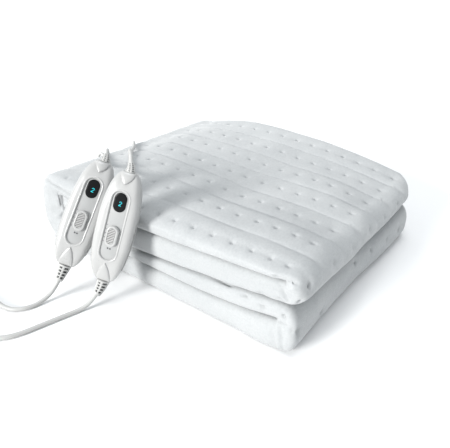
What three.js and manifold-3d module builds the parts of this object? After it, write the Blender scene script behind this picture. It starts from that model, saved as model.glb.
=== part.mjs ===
// Heated mattress pad, folded, with its two hand controllers and their leads.
//
// The pad is one sheet of quilted fleece. It is folded along its length into a strip of four
// plies, and the strip is folded back and forth into a pile of four legs: leg two, a turn at the
// right end, leg one on top, a wrap round the left end, leg four on the floor, a second turn at
// the right end, and leg three. The solid is that strip, swept along its real path with rounded
// long edges and a small gap between the legs.
//
// Two controllers lean on the pile's front edge. Each has a front and a back shell, a recessed
// panel with a display window, a slide switch, a ribbed strain relief at each end, a mains lead
// with its coil and plug, and a lead that runs over the pile and into the pad.
//
// Millimetres, +Z up, +X to the right along the rows of weld spots, +Y to the back.

import * as THREE from "three";
import { mergeVertices } from "three/addons/utils/BufferGeometryUtils.js";
import Module from "manifold-3d";

const wasm = await Module();
wasm.setup();

// Driving dimensions of the pile
const PAD_FRONT = -178;
const LOW_FRONT = -175;
const LOW_FRONT_RIGHT = -178;
const TOP_BACK = 200;
const LOW_BACK = 187;
const TURN_X = 190;
const TURN_REACH = 27.5;
const LOW_TURN_IN = -6.5;
const LOW_TURN_OUT = 4.5;
const WRAP_X = -184;
const WRAP_REACH = 46;
const WRAP_HOLLOW = 4;
const WRAP_SQUARE = 0.72;
const TURN_SQUARE = 0.95;
const LOW_SQUARE = 0.7;
const TOP_CORNER = 24;
const LOW_CORNER = 8;
const FREE_END_TWO = -184.5;
const FREE_END_THREE = -184;
const LEG_GAP = 0.5;
const POCKET = 1.2;
const LOW_POCKET = 0.9;
const POCKET_START = 140;
const SHOULDER = 38;
const SHOULDER_LEFT = 17;
const EDGE_ROUND = 14;
const NOSE_POWER = 0.5;
const BACK_ROUND = 22;

// Quilting: weld spots in rows along X, with a shallow crease between the rows
const ROW_PITCH = 54;
const ROW_COUNT = 7;
const FRONT_ROW_Y = -161;
const SPOT_X = [188, 163, 137, 111, 83, 55, 26, -2, -31, -60, -89, -118, -147, -176];
const SPOT_SKEW = 0.04;
const SPOT_DEPTH = 2.2;
const SPOT_HALF = 6;
const SPOT_ANGLE = 20;
const CREASE_DEPTH = 1.3;
const ROW_HALF = 9;

// Heights over the floor of the top and of the three gaps between the legs, measured at places
// along X and from front to back
const TOP = {
  x: [-185, -150, -100, -50, 0, 50, 100, 150, 190],
  y: [-161, -107, -53, 1, 55, 109, 163, 190],
  z: [
    [112, 112, 112, 112, 112, 113, 113, 112, 110],
    [111, 116, 118, 117, 116, 113, 112, 112, 108],
    [111, 117, 119, 117, 113, 107, 107, 104, 99],
    [110, 117, 117, 113, 110, 106, 105, 104, 100],
    [109, 117, 117, 115, 111, 107, 106, 102, 92],
    [108, 115, 117, 115, 114, 109, 104, 98, 90],
    [107, 115, 120, 121, 119, 114, 108, 100, 91],
    [107, 116, 124, 125, 122, 118, 111, 101, 91],
  ],
};
const GAP_ONE = {
  x: [-185, -100, 0, 100, 190],
  y: [-165, -53, 55, 163],
  z: [
    [84, 84.5, 87, 91.5, 97],
    [86, 88, 83, 79, 76],
    [86, 88, 83, 78, 73],
    [86, 90, 88, 80, 72],
  ],
};
const GAP_TWO = {
  x: GAP_ONE.x,
  y: GAP_ONE.y,
  z: [
    [44, 44, 48.5, 56.5, 66],
    [54, 54, 52, 53, 57],
    [56, 56, 54, 52, 52],
    [56, 58, 56, 54, 51],
  ],
};
const GAP_THREE = {
  x: GAP_ONE.x,
  y: GAP_ONE.y,
  z: [
    [33, 34, 33, 31.5, 38],
    [28, 28, 27, 28, 31],
    [28, 28, 27, 27, 27],
    [28, 29, 28, 27, 27],
  ],
};

// Driving dimensions of a controller, in its own frame: x across, y up the body, z out of the face
const BODY_LENGTH = 142;
const BODY_WIDTH = 48;
const BODY_DEPTH = 24;
const COLLAR_LOW = 8.5;
const COLLAR_HIGH = 6.5;
const COLLAR_DEPTH = 6.5;
const SEAM_GAP = 0.6;
const PANEL_LENGTH = 88;
const PANEL_WIDTH = 20.4;
const PANEL_CENTRE_Y = 4;
const PANEL_DROP = 1.6;
const PANEL_THICK = 1.6;
const FIT_GAP = 0.3;
const DISPLAY_LENGTH = 24;
const DISPLAY_WIDTH = 15.5;
const DISPLAY_Y = 34.5;
const SWITCH_LENGTH = 27;
const SWITCH_WIDTH = 17;
const SWITCH_HEIGHT = 4.4;
const SWITCH_Y = -8.5;
const SWITCH_EDGE = 1;
const RIDGE_COUNT = 7;
const RIDGE_PITCH = 2.7;
const RIDGE_TURN = 32;
const GROOVE = { length: 10, width: 1.1, depth: 0.8 };
const DOMES = {
  low: { reach: 26.5, half: 9.2, crown: 11.4 },
  high: { reach: 12.5, half: 8, crown: 11.2 },
};

// Strain reliefs: a ribbed, tapered boot at each end of each controller and on each plug
const LOW_BOOT = { length: 22, wide: 8.4, narrow: 5.0, ribs: 4 };
const HIGH_BOOT = { length: 10.5, wide: 6.0, narrow: 3.5, ribs: 5 };
const PLUG_BOOT = { length: 24, wide: 5.5, narrow: 3.9, ribs: 5 };
const RIB_STEP = 0.5;

// Leads
const CORD_SIDES = 8;
const MAINS_DIAMETER = 5.5;
const MAINS_COIL = { radius: 30, wide: 4, high: 2, diameter: MAINS_DIAMETER };
const LEAD_DIAMETER = 4.6;
const LEAD_COIL = { radius: 27.6, wide: 1, high: 3, diameter: LEAD_DIAMETER };
const FLOOR_GAP = 0.15;
const TUBE_STEP = 18;
const PLUG_LENGTH = 32;
const PLUG_WIDTH = 34;
const PLUG_HEIGHT = 13;
const PIN_RADIUS = 2.0;
const PIN_LENGTH = 19;
const PIN_PITCH = 18.6;

// The part's origin, in the pile's own coordinates
const ORIGIN_X = -4;
const ORIGIN_Y = -29.735;

// Where each controller stands: its lower end, the direction up its body, its turn from -Y
// towards +X, and how far its lower boot bends up from the body's line
const CONTROLLERS = [
  {
    side: "left",
    foot: [-88.7, -242.8, 41.6],
    up: [11.9, 75.1, 120.1],
    turn: 31,
    bend: 6,
    leave: [-0.64, 0.68, 0.25],
  },
  {
    side: "right",
    foot: [-32.7, -228.5, 34.5],
    up: [15.2, 49.3, 132.5],
    turn: 25,
    bend: 27,
    leave: [-0.6, 0.55, 0.58],
  },
];

// Routes of the leads, in the pile's coordinates. A mains lead runs from the lower boot along the
// floor to its coil, and from the coil to its plug. A pad lead bends over the upper boot, lies on
// the pile, goes down its left side to its coil, and from there back into the pad.
const LEADS = [
  {
    name: "left_mains",
    coil: [-222, -354.6],
    shape: MAINS_COIL,
    before: [
      [-90.7, -255.7, 23.1],
      [-91.4, -259.9, 17.9],
      [-92.8, -268.8, 9.6],
      [-94.5, -279.4, 4.6],
      [-96.3, -290.9, 2.9],
      [-101.6, -303.8, 2.9],
      [-112.3, -312.9, 2.9],
      [-125.9, -316.3, 2.9],
      [-145, -316.35, 2.9],
      [-172, -316.35, 2.9],
      [-200, -316.35, 2.9],
    ],
    after: [
      [-243.8, -316.35, 8.4],
      [-250, -316.35, 7.2],
      [-257, -316.35, 5.2],
    ],
    plug: { rear: [-282.6, -316.35], heading: 180 },
  },
  {
    name: "right_mains",
    coil: [-130, -400],
    shape: MAINS_COIL,
    before: [
      [-36.4, -240.5, 16.4],
      [-38.3, -246.9, 10.5],
      [-40, -252.5, 6.4],
      [-42, -259, 3.8],
      [-44.2, -266, 2.9],
      [-50.5, -286.5, 2.9],
      [-57, -307.5, 2.9],
      [-64, -330, 2.9],
      [-73, -346.2, 2.9],
      [-88, -357.5, 2.9],
      [-108, -361.75, 2.9],
    ],
    after: [
      [-108.2, -438.25, 8.4],
      [-102, -438.25, 7.2],
      [-95, -438.25, 5.2],
    ],
    plug: { rear: [-69.4, -438.25], heading: 0 },
  },
  {
    name: "left_lead",
    coil: [-280.2, 4.5],
    shape: LEAD_COIL,
    before: [
      [-80.1, -160.8, 167.8],
      [-84.1, -156.6, 169.25],
      [-89.5, -151.3, 168.8],
      [-96.5, -145.5, 165.8],
      [-104, -139.8, 159.5],
      [-112, -134, 150.5],
      [-119.5, -128, 140.5],
      [-127, -122, 131],
      [-137, -114, 123.5],
      [-150, -105, 120.2],
      [-165, -96, 118.2],
      [-178, -88, 116],
      [-190, -80, 114.8],
      [-204, -71, 113],
      [-217, -66, 109],
      [-226, -63, 100],
      [-232.5, -61, 84],
      [-234.5, -59, 60],
      [-235, -56, 38],
      [-238, -51, 19],
      [-243, -42, 7],
      [-248.5, -31, 2.6],
      [-252, -20, 2.45],
      [-252.6, -12.2, 2.45],
    ],
    after: [
      [-252.6, 21.2, 11.6],
      [-251.5, 31, 8.8],
      [-246.5, 40, 5.2],
      [-237, 46, 3.2],
      [-226, 48, 3.6],
      [-216, 48.5, 5.6],
    ],
  },
  {
    name: "right_lead",
    coil: [-280.2, 123.5],
    shape: LEAD_COIL,
    before: [
      [-20.3, -174.2, 175.3],
      [-26, -168.5, 181.5],
      [-33, -162.5, 183.5],
      [-41, -156, 181],
      [-49, -149.5, 173.5],
      [-57, -143, 162],
      [-65, -137, 148],
      [-74, -130, 136],
      [-85, -121, 127.5],
      [-98, -110, 123.5],
      [-113, -97, 122.5],
      [-126, -85, 121.3],
      [-146, -65, 121],
      [-166, -43, 118.6],
      [-186, -20, 114.5],
      [-204, -3, 113],
      [-215, 6, 107.5],
      [-225, 13, 99.5],
      [-231.5, 23, 84],
      [-233, 35, 60],
      [-235, 47, 38],
      [-238, 60, 19],
      [-243, 74, 7],
      [-248.5, 87, 2.6],
      [-252, 98, 2.45],
      [-252.6, 106.8, 2.45],
    ],
    after: [
      [-252.6, 140.2, 11.6],
      [-251.5, 149, 8.8],
      [-246, 157, 5.4],
      [-236, 161.5, 3.3],
      [-226, 162.5, 3.6],
      [-216, 163, 5.6],
    ],
  },
];

const FABRIC = new THREE.MeshStandardMaterial({ color: 0xe9edef, roughness: 0.95, metalness: 0 });
const GLOSS = new THREE.MeshStandardMaterial({ color: 0xf4f5f4, roughness: 0.25, metalness: 0 });
const GREY = new THREE.MeshStandardMaterial({ color: 0xd9dcda, roughness: 0.5, metalness: 0 });
const BLACK = new THREE.MeshStandardMaterial({ color: 0x0d0f11, roughness: 0.08, metalness: 0 });
const RUBBER = new THREE.MeshStandardMaterial({ color: 0xeeeeec, roughness: 0.6, metalness: 0 });
const NICKEL = new THREE.MeshStandardMaterial({ color: 0xc4c2bb, roughness: 0.25, metalness: 1 });

const smooth = (t) => {
  const k = Math.min(1, Math.max(0, t));
  return k * k * (3 - 2 * k);
};

// Smooth value at a place between given knots, level beyond the first and the last
function alongKnots(knots, values, at) {
  const last = knots.length - 1;
  if (at <= knots[0]) return values[0];
  if (at >= knots[last]) return values[last];
  const i = knots.findIndex((knot) => at < knot) - 1;
  const slope = (k) => {
    const [low, high] = [Math.max(0, k - 1), Math.min(last, k + 1)];
    return (values[high] - values[low]) / (knots[high] - knots[low]);
  };
  const span = knots[i + 1] - knots[i];
  const t = (at - knots[i]) / span;
  const rise = t * t * (3 - 2 * t);
  const leave = t * (1 - t) * (1 - t) * span * slope(i);
  const arrive = t * t * (t - 1) * span * slope(i + 1);
  return values[i] * (1 - rise) + values[i + 1] * rise + leave + arrive;
}

function heightAt(table, x, y) {
  return alongKnots(table.y, table.z.map((row) => alongKnots(table.x, row, x)), y);
}

// Points across the strip: y, how full the strip is there, and its place in the quilting
function acrossPlaces(front, frontRound, power, back, backRound, detailed) {
  const places = [];
  const edge = (degrees, nose, round, direction, square = 1) => {
    const a = THREE.MathUtils.degToRad(degrees);
    const full = Math.sin(a) ** square;
    places.push({ y: nose + direction * round * (1 - Math.cos(a)), full, spot: 0, crease: 0 });
  };
  if (detailed) {
    for (const a of [0, 18, 38, 59, 76]) edge(a, front, frontRound, 1, power);
    places[3].spot = 1;
    for (let r = 0; r < ROW_COUNT - 1; r += 1) {
      const row = FRONT_ROW_Y + r * ROW_PITCH;
      if (r > 0) {
        for (const [offset, spot] of [[-ROW_HALF, 0], [0, 1], [ROW_HALF, 0]]) {
          places.push({ y: row + offset, full: 1, spot, crease: 0 });
        }
      }
      places.push({ y: row + ROW_PITCH / 2, full: 1, spot: 0, crease: 1 });
    }
    const last = FRONT_ROW_Y + (ROW_COUNT - 1) * ROW_PITCH;
    places.push({ y: last - ROW_HALF, full: 1, spot: 0, crease: 0 });
    places.push({ y: last, full: 1, spot: 1, crease: 0 });
    places.push({ y: last + ROW_HALF, full: 1, spot: 0, crease: 0 });
    for (const a of [66, 42, 20, 0]) edge(a, back, backRound, -1);
  } else {
    for (const a of [20, 42, 66]) edge(a, back, backRound, -1);
    places.push({ y: back - backRound, full: 1, spot: 0, crease: 0 });
    for (const y of [107, 1, -107]) places.push({ y, full: 1, spot: 0, crease: 0 });
    for (const a of [80, 50, 22]) edge(a, front, frontRound, 1, power);
  }
  return places;
}

// The strip's two faces at a place on a leg, as points of the section at that distance back
function legFaces(leg, x, y) {
  const pocket = leg < 3 ? POCKET : LOW_POCKET;
  const reach = smooth((x - POCKET_START) / (TURN_X - POCKET_START));
  const open = LEG_GAP + (pocket - LEG_GAP) * reach;
  if (leg === 1) {
    const fade = smooth((TURN_X - x) / 40) * smooth((x - WRAP_X) / 40);
    const shifted = x - SPOT_SKEW * y * fade;
    return { outer: [shifted, heightAt(TOP, shifted, y)], inner: [x, heightAt(GAP_ONE, x, y) + open] };
  }
  if (leg === 2) return { outer: [x, heightAt(GAP_TWO, x, y) + LEG_GAP], inner: [x, heightAt(GAP_ONE, x, y) - open] };
  const lean = LOW_TURN_IN + (LOW_TURN_OUT - LOW_TURN_IN) * smooth((y + 60) / 200);
  const skewed = x + lean * reach;
  const gap = heightAt(GAP_THREE, x, y);
  if (leg === 3) return { outer: [skewed, heightAt(GAP_TWO, x, y) - LEG_GAP], inner: [skewed, gap + open] };
  return { outer: [skewed, 0], inner: [skewed, gap - open] };
}

// The same where the strip goes round from one leg to another
function roundFaces(low, high, x, angle, wide, square, y) {
  const a = THREE.MathUtils.degToRad(angle);
  const faces = {};
  for (const name of ["outer", "inner"]) {
    const below = legFaces(low, x, y)[name];
    const above = legFaces(high, x, y)[name];
    const power = name === "outer" ? square : 1;
    const c = Math.sign(Math.cos(a)) * Math.abs(Math.cos(a)) ** power;
    const s = Math.sign(Math.sin(a)) * Math.abs(Math.sin(a)) ** power;
    const middle = [(below[0] + above[0]) / 2, (below[1] + above[1]) / 2];
    faces[name] = [middle[0] + wide[name] * c, middle[1] + ((above[1] - below[1]) / 2) * s];
  }
  return faces;
}

// Stations along the strip's path: the faces there, the long edges and the quilting
function stripStations() {
  const stations = [];
  const leg = (number, x, spots = false) => {
    const shoulder = SHOULDER_LEFT + (SHOULDER - SHOULDER_LEFT) * smooth((x - WRAP_X) / 110);
    const lowFront = LOW_FRONT + (LOW_FRONT_RIGHT - LOW_FRONT) * smooth((x - 120) / 60);
    const edges = {
      1: { front: PAD_FRONT, round: shoulder, power: 1, back: TOP_BACK },
      2: { front: PAD_FRONT + 2, round: EDGE_ROUND, power: NOSE_POWER, back: TOP_BACK - 3 },
      3: { front: PAD_FRONT + 2, round: EDGE_ROUND, power: NOSE_POWER, back: LOW_BACK - 3 },
      4: { front: lowFront, round: EDGE_ROUND - 3, power: NOSE_POWER, back: LOW_BACK },
    }[number];
    stations.push({ faces: (y) => legFaces(number, x, y), ...edges, quilted: number === 1, spots });
  };
  const upperTurn = (angle) => {
    const k = smooth((angle + 90) / 180);
    const out = Math.cos(THREE.MathUtils.degToRad(angle));
    stations.push({
      faces: (y) => roundFaces(2, 1, TURN_X, angle, { outer: TURN_REACH, inner: POCKET }, TURN_SQUARE, y),
      front: PAD_FRONT + 2 - 2 * k,
      round: EDGE_ROUND + (SHOULDER - EDGE_ROUND) * k,
      power: NOSE_POWER + (1 - NOSE_POWER) * k,
      back: TOP_BACK - 1 - TOP_CORNER * out,
      quilted: angle > 0,
      spots: angle === SPOT_ANGLE,
    });
  };
  const lowerTurn = (angle) => {
    const k = smooth((angle + 90) / 180);
    const out = Math.cos(THREE.MathUtils.degToRad(angle));
    stations.push({
      faces: (y) => roundFaces(4, 3, TURN_X, angle, { outer: TURN_REACH, inner: LOW_POCKET }, LOW_SQUARE, y),
      front: LOW_FRONT_RIGHT + (PAD_FRONT + 2 - LOW_FRONT_RIGHT) * k,
      round: EDGE_ROUND,
      power: NOSE_POWER,
      back: LOW_BACK - LOW_CORNER * out,
      quilted: false,
      spots: angle === SPOT_ANGLE,
    });
  };
  const wrap = (angle) => {
    const k = smooth((angle - 90) / 180);
    stations.push({
      faces: (y) => roundFaces(4, 1, WRAP_X, angle, { outer: WRAP_REACH, inner: WRAP_HOLLOW }, WRAP_SQUARE, y),
      front: PAD_FRONT + (LOW_FRONT - PAD_FRONT) * k,
      round: SHOULDER_LEFT + (EDGE_ROUND - 3 - SHOULDER_LEFT) * k,
      power: 1 + (NOSE_POWER - 1) * k,
      back: TOP_BACK + (LOW_BACK - TOP_BACK) * k,
      quilted: false,
      spots: false,
    });
  };
  for (const x of [FREE_END_TWO, -100, 0, 100, 145, 168]) leg(2, x);
  for (const angle of [-90, -68, -45, -22, 0, 20, 40, 64]) upperTurn(angle);
  SPOT_X.forEach((x, column) => {
    if (column > 0) leg(1, x + SPOT_HALF);
    leg(1, x, true);
    if (x - SPOT_HALF > WRAP_X) leg(1, x - SPOT_HALF);
  });
  for (const angle of [90, 108, 124, 140, 158, 180, 202, 226, 248]) wrap(angle);
  for (const x of [WRAP_X, -100, 0, 100, 145, 168]) leg(4, x);
  for (const angle of [-90, -68, -45, -22, 0, 20, 40, 64]) lowerTurn(angle);
  for (const x of [TURN_X, 168, 145, 100, 0, -100, FREE_END_THREE]) leg(3, x);
  return stations;
}

function ringOf(station) {
  const { front, round, power, back } = station;
  const outerPlaces = acrossPlaces(front, round, power, back, BACK_ROUND, true);
  const innerPlaces = acrossPlaces(front, EDGE_ROUND, NOSE_POWER, back, BACK_ROUND, false);
  const point = (place, name) => {
    const faces = station.faces(place.y);
    const middle = faces.outer.map((value, axis) => (value + faces.inner[axis]) / 2);
    const reach = faces[name].map((value, axis) => value - middle[axis]);
    let full = place.full;
    if (name === "outer") {
      const spot = place.spot && station.spots ? SPOT_DEPTH : 0;
      const crease = place.crease && station.quilted ? CREASE_DEPTH : 0;
      full -= (spot + crease) / Math.hypot(...reach);
    }
    return [middle[0] + reach[0] * full, place.y, middle[1] + reach[1] * full];
  };
  return [
    ...outerPlaces.map((place) => point(place, "outer")),
    ...innerPlaces.map((place) => point(place, "inner")),
  ];
}

// Closed solid through rings of the same number of points, with a flat cap at each end
function loft(rings) {
  const count = rings[0].length;
  const positions = rings.flat(2);
  const index = [];
  for (let i = 0; i + 1 < rings.length; i += 1) {
    for (let j = 0; j < count; j += 1) {
      const a = i * count + j;
      const b = i * count + ((j + 1) % count);
      index.push(a, b, b + count, a, b + count, a + count);
    }
  }
  for (const [ring, flip] of [[rings[0], true], [rings[rings.length - 1], false]]) {
    const centre = [0, 1, 2].map((axis) => ring.reduce((sum, p) => sum + p[axis], 0) / count);
    const hub = positions.length / 3;
    const start = flip ? 0 : (rings.length - 1) * count;
    positions.push(...centre);
    for (let j = 0; j < count; j += 1) {
      const a = start + j;
      const b = start + ((j + 1) % count);
      if (flip) index.push(hub, b, a);
      else index.push(hub, a, b);
    }
  }
  const geometry = new THREE.BufferGeometry();
  geometry.setAttribute("position", new THREE.Float32BufferAttribute(positions, 3));
  geometry.setIndex(index);
  return geometry;
}

// Turns a geometry's faces round where it was wound inside out
function facingOut(geometry) {
  const p = geometry.attributes.position;
  const index = geometry.index.array;
  const [a, b, c] = [new THREE.Vector3(), new THREE.Vector3(), new THREE.Vector3()];
  let volume = 0;
  for (let i = 0; i < index.length; i += 3) {
    a.fromBufferAttribute(p, index[i]);
    b.fromBufferAttribute(p, index[i + 1]);
    c.fromBufferAttribute(p, index[i + 2]);
    volume += a.dot(b.cross(c));
  }
  if (volume > 0) return geometry;
  const turned = [];
  for (let i = 0; i < index.length; i += 3) turned.push(index[i], index[i + 2], index[i + 1]);
  geometry.setIndex(turned);
  return geometry;
}

function toManifold(geometry) {
  const bare = geometry.clone();
  bare.deleteAttribute("normal");
  bare.deleteAttribute("uv");
  const merged = mergeVertices(bare, 1e-4);
  return new wasm.Manifold(
    new wasm.Mesh({
      numProp: 3,
      vertProperties: new Float32Array(merged.attributes.position.array),
      triVerts: new Uint32Array(merged.index.array),
    }),
  );
}

function fromManifold(solid) {
  const mesh = solid.getMesh();
  const geometry = new THREE.BufferGeometry();
  geometry.setAttribute("position", new THREE.BufferAttribute(mesh.vertProperties, 3));
  geometry.setIndex(new THREE.BufferAttribute(mesh.triVerts, 1));
  return geometry;
}

function named(name, geometry, material) {
  const mesh = new THREE.Mesh(geometry, material);
  mesh.name = name;
  return mesh;
}

function padSolid() {
  return facingOut(loft(stripStations().map(ringOf)));
}

// Capsule outline: a slot with round ends, long along y
function capsule(length, width, segments = 10) {
  const shape = new THREE.Shape();
  const straight = (length - width) / 2;
  for (let i = 0; i <= segments; i += 1) {
    const a = (Math.PI * i) / segments;
    const [x, y] = [(width / 2) * Math.cos(a), straight + (width / 2) * Math.sin(a)];
    if (i === 0) shape.moveTo(x, y);
    else shape.lineTo(x, y);
  }
  for (let i = 0; i <= segments; i += 1) {
    const a = Math.PI + (Math.PI * i) / segments;
    shape.lineTo((width / 2) * Math.cos(a), -straight + (width / 2) * Math.sin(a));
  }
  shape.closePath();
  return shape;
}

function slab(length, width, low, high, y = 0) {
  const geometry = new THREE.ExtrudeGeometry(capsule(length, width), {
    depth: high - low,
    bevelEnabled: false,
  });
  geometry.translate(0, y, low);
  return geometry;
}

// Half width and half depth of a controller's body along its length
function bodyHalfWidth(y) {
  const t = Math.min(1, Math.abs(y) / (BODY_LENGTH / 2));
  const collar = y > 0 ? COLLAR_HIGH : COLLAR_LOW;
  return collar + (BODY_WIDTH / 2 - collar) * (1 - t ** 2.5) ** 0.58;
}

function bodyHalfDepth(y) {
  const t = Math.min(1, Math.abs(y) / (BODY_LENGTH / 2));
  return COLLAR_DEPTH + (BODY_DEPTH / 2 - COLLAR_DEPTH) * (1 - t ** 3) ** 0.7;
}

// Height of the raised dome at each end of the face, where the lead goes in
function domeHeight(x, y) {
  const { reach, half, crown } = y > 0 ? DOMES.high : DOMES.low;
  const t = (BODY_LENGTH / 2 - Math.abs(y)) / reach;
  if (t >= 1) return 0;
  const wide = half * Math.sqrt(1 - t ** 1.6);
  if (Math.abs(x) >= wide) return 0;
  return crown * Math.sqrt(1 - t ** 3) * Math.sqrt(1 - (x / wide) ** 4);
}

function shellSolid(front) {
  const rings = [];
  const steps = 26;
  const across = 16;
  for (let i = 0; i <= steps; i += 1) {
    const y = (-BODY_LENGTH / 2) * Math.cos((Math.PI * i) / steps);
    const wide = bodyHalfWidth(y);
    const deep = bodyHalfDepth(y);
    const ring = [];
    for (let j = 0; j <= across; j += 1) {
      const a = (Math.PI * j) / across;
      const x = wide * Math.sign(Math.cos(a)) * Math.abs(Math.cos(a)) ** 0.8;
      const rise = (deep - SEAM_GAP / 2) * Math.sin(a) ** 0.62;
      const height = front ? Math.max(rise, domeHeight(x, y)) : rise;
      ring.push([x, y, (front ? 1 : -1) * (SEAM_GAP / 2 + height)]);
    }
    rings.push(ring);
  }
  return facingOut(loft(rings));
}

// Slide switch: a raised oval button with slanting grip ridges
function switchSolid(base) {
  const trim = 2 * SWITCH_EDGE;
  const body = new THREE.ExtrudeGeometry(capsule(SWITCH_LENGTH - trim, SWITCH_WIDTH - trim), {
    depth: SWITCH_HEIGHT - trim,
    bevelThickness: SWITCH_EDGE,
    bevelSize: SWITCH_EDGE,
    bevelSegments: 2,
  });
  body.translate(0, SWITCH_Y, base + SWITCH_EDGE);
  let solid = toManifold(body);
  for (let i = 0; i < RIDGE_COUNT; i += 1) {
    const groove = new THREE.BoxGeometry(GROOVE.length, GROOVE.width, 2 * GROOVE.depth);
    groove.rotateZ(THREE.MathUtils.degToRad(RIDGE_TURN));
    groove.translate(0, SWITCH_Y + (i - (RIDGE_COUNT - 1) / 2) * RIDGE_PITCH, base + SWITCH_HEIGHT);
    solid = solid.subtract(toManifold(groove));
  }
  return fromManifold(solid);
}

// Tube of rings square to a path, with a radius at each point
function ringedTube(points, radii, sides) {
  const curve = new THREE.CatmullRomCurve3(points, false, "centripetal");
  const steps = points.length - 1;
  const frames = curve.computeFrenetFrames(steps, false);
  const rings = points.map((centre, i) => {
    const ring = [];
    for (let j = 0; j < sides; j += 1) {
      const a = (2 * Math.PI * j) / sides;
      const offset = frames.normals[i].clone().multiplyScalar(Math.cos(a) * radii[i]);
      offset.addScaledVector(frames.binormals[i], Math.sin(a) * radii[i]);
      ring.push(centre.clone().add(offset).toArray());
    }
    return ring;
  });
  return facingOut(loft(rings));
}

// Boot along a bent centre line, from the body to the lead, with raised ribs
function bootSolid(shape, start, along, exit) {
  const corner = start.clone().addScaledVector(along, shape.length / 2);
  const end = corner.clone().addScaledVector(exit, shape.length / 2);
  const line = new THREE.QuadraticBezierCurve3(start, corner, end);
  const steps = 2 * shape.ribs + 1;
  const points = line.getSpacedPoints(steps);
  const radii = points.map((_, i) => {
    const base = shape.wide + ((shape.narrow - shape.wide) * i) / steps;
    if (i === 0 || i === steps) return base;
    return base + (i % 2 === 0 ? RIB_STEP : -RIB_STEP);
  });
  return { geometry: ringedTube(points, radii, 12), end };
}

// Lead: a tube of even section along a smooth curve through hand-picked points
function leadTube(points, diameter) {
  const section = new THREE.Shape();
  const radius = diameter / 2;
  for (let i = 0; i < CORD_SIDES; i += 1) {
    const a = (2 * Math.PI * (i + 0.5)) / CORD_SIDES;
    if (i === 0) section.moveTo(radius * Math.cos(a), radius * Math.sin(a));
    else section.lineTo(radius * Math.cos(a), radius * Math.sin(a));
  }
  section.closePath();
  const curve = new THREE.CatmullRomCurve3(points.map((p) => new THREE.Vector3(...p)), false, "centripetal");
  const steps = Math.ceil(curve.getLength() / TUBE_STEP);
  return new THREE.ExtrudeGeometry(section, { steps, extrudePath: curve, bevelEnabled: false });
}

// Coil: a ring of the outer shape of the wound turns, lying on the floor
function coilRing(centre, { radius, wide, high, diameter }) {
  const half = (wide * diameter) / 2;
  const low = FLOOR_GAP;
  const top = FLOOR_GAP + high * diameter;
  const profile = [
    [radius - half, low],
    [radius + half, low],
    [radius + half, top],
    [radius - half, top],
    [radius - half, low],
  ].map(([x, y]) => new THREE.Vector2(x, y));
  const geometry = new THREE.LatheGeometry(profile, 32);
  geometry.rotateX(Math.PI / 2);
  geometry.translate(centre[0], centre[1], 0);
  return facingOut(mergeVertices(geometry, 1e-4));
}

// Flat two-pin plug lying on the floor, its rear at a place and its pins towards a heading
function plugPieces(side, rear, heading) {
  const group = new THREE.Group();
  group.position.set(rear[0], rear[1], 0);
  group.rotation.z = THREE.MathUtils.degToRad(heading);
  const outline = new THREE.Shape();
  outline.moveTo(0, -5.5);
  outline.lineTo(0, 5.5);
  outline.bezierCurveTo(8, 6.5, 10, PLUG_WIDTH / 2, 20, PLUG_WIDTH / 2);
  outline.lineTo(PLUG_LENGTH - 2, PLUG_WIDTH / 2);
  outline.lineTo(PLUG_LENGTH, PLUG_WIDTH / 2 - 2);
  outline.lineTo(PLUG_LENGTH, 2 - PLUG_WIDTH / 2);
  outline.lineTo(PLUG_LENGTH - 2, -PLUG_WIDTH / 2);
  outline.lineTo(20, -PLUG_WIDTH / 2);
  outline.bezierCurveTo(10, -PLUG_WIDTH / 2, 8, -6.5, 0, -5.5);
  const body = new THREE.ExtrudeGeometry(outline, {
    depth: PLUG_HEIGHT - 3,
    bevelThickness: 1.5,
    bevelSize: 1.5,
    bevelOffset: -1.5,
    bevelSegments: 2,
    curveSegments: 6,
  });
  body.translate(0, 0, 1.5 + FLOOR_GAP);
  group.add(named(`${side}_plug`, body, RUBBER));
  const middle = PLUG_HEIGHT / 2 + FLOOR_GAP;
  for (const [name, y] of [["a", -PIN_PITCH / 2], ["b", PIN_PITCH / 2]]) {
    const pin = new THREE.CylinderGeometry(PIN_RADIUS, PIN_RADIUS, PIN_LENGTH, 12);
    pin.rotateZ(Math.PI / 2);
    pin.translate(PLUG_LENGTH + FIT_GAP + PIN_LENGTH / 2, y, middle);
    group.add(named(`${side}_plug_pin_${name}`, pin, NICKEL));
  }
  const boot = bootSolid(
    PLUG_BOOT,
    new THREE.Vector3(-FIT_GAP, 0, middle),
    new THREE.Vector3(-1, 0, -0.04).normalize(),
    new THREE.Vector3(-1, 0, -0.09).normalize(),
  );
  group.add(named(`${side}_plug_boot`, boot.geometry, RUBBER));
  return group;
}

// A controller's frame: y up its body, z out of its face, turned from -Y towards +X
function controllerFrame({ foot, up, turn }) {
  const along = new THREE.Vector3(...up).normalize();
  const a = THREE.MathUtils.degToRad(turn);
  const facing = new THREE.Vector3(Math.sin(a), -Math.cos(a), 0);
  facing.addScaledVector(along, -facing.dot(along)).normalize();
  const across = new THREE.Vector3().crossVectors(along, facing);
  const basis = new THREE.Matrix4().makeBasis(across, along, facing);
  const centre = new THREE.Vector3(...foot).addScaledVector(along, BODY_LENGTH / 2);
  return { along, basis, centre };
}

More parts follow.
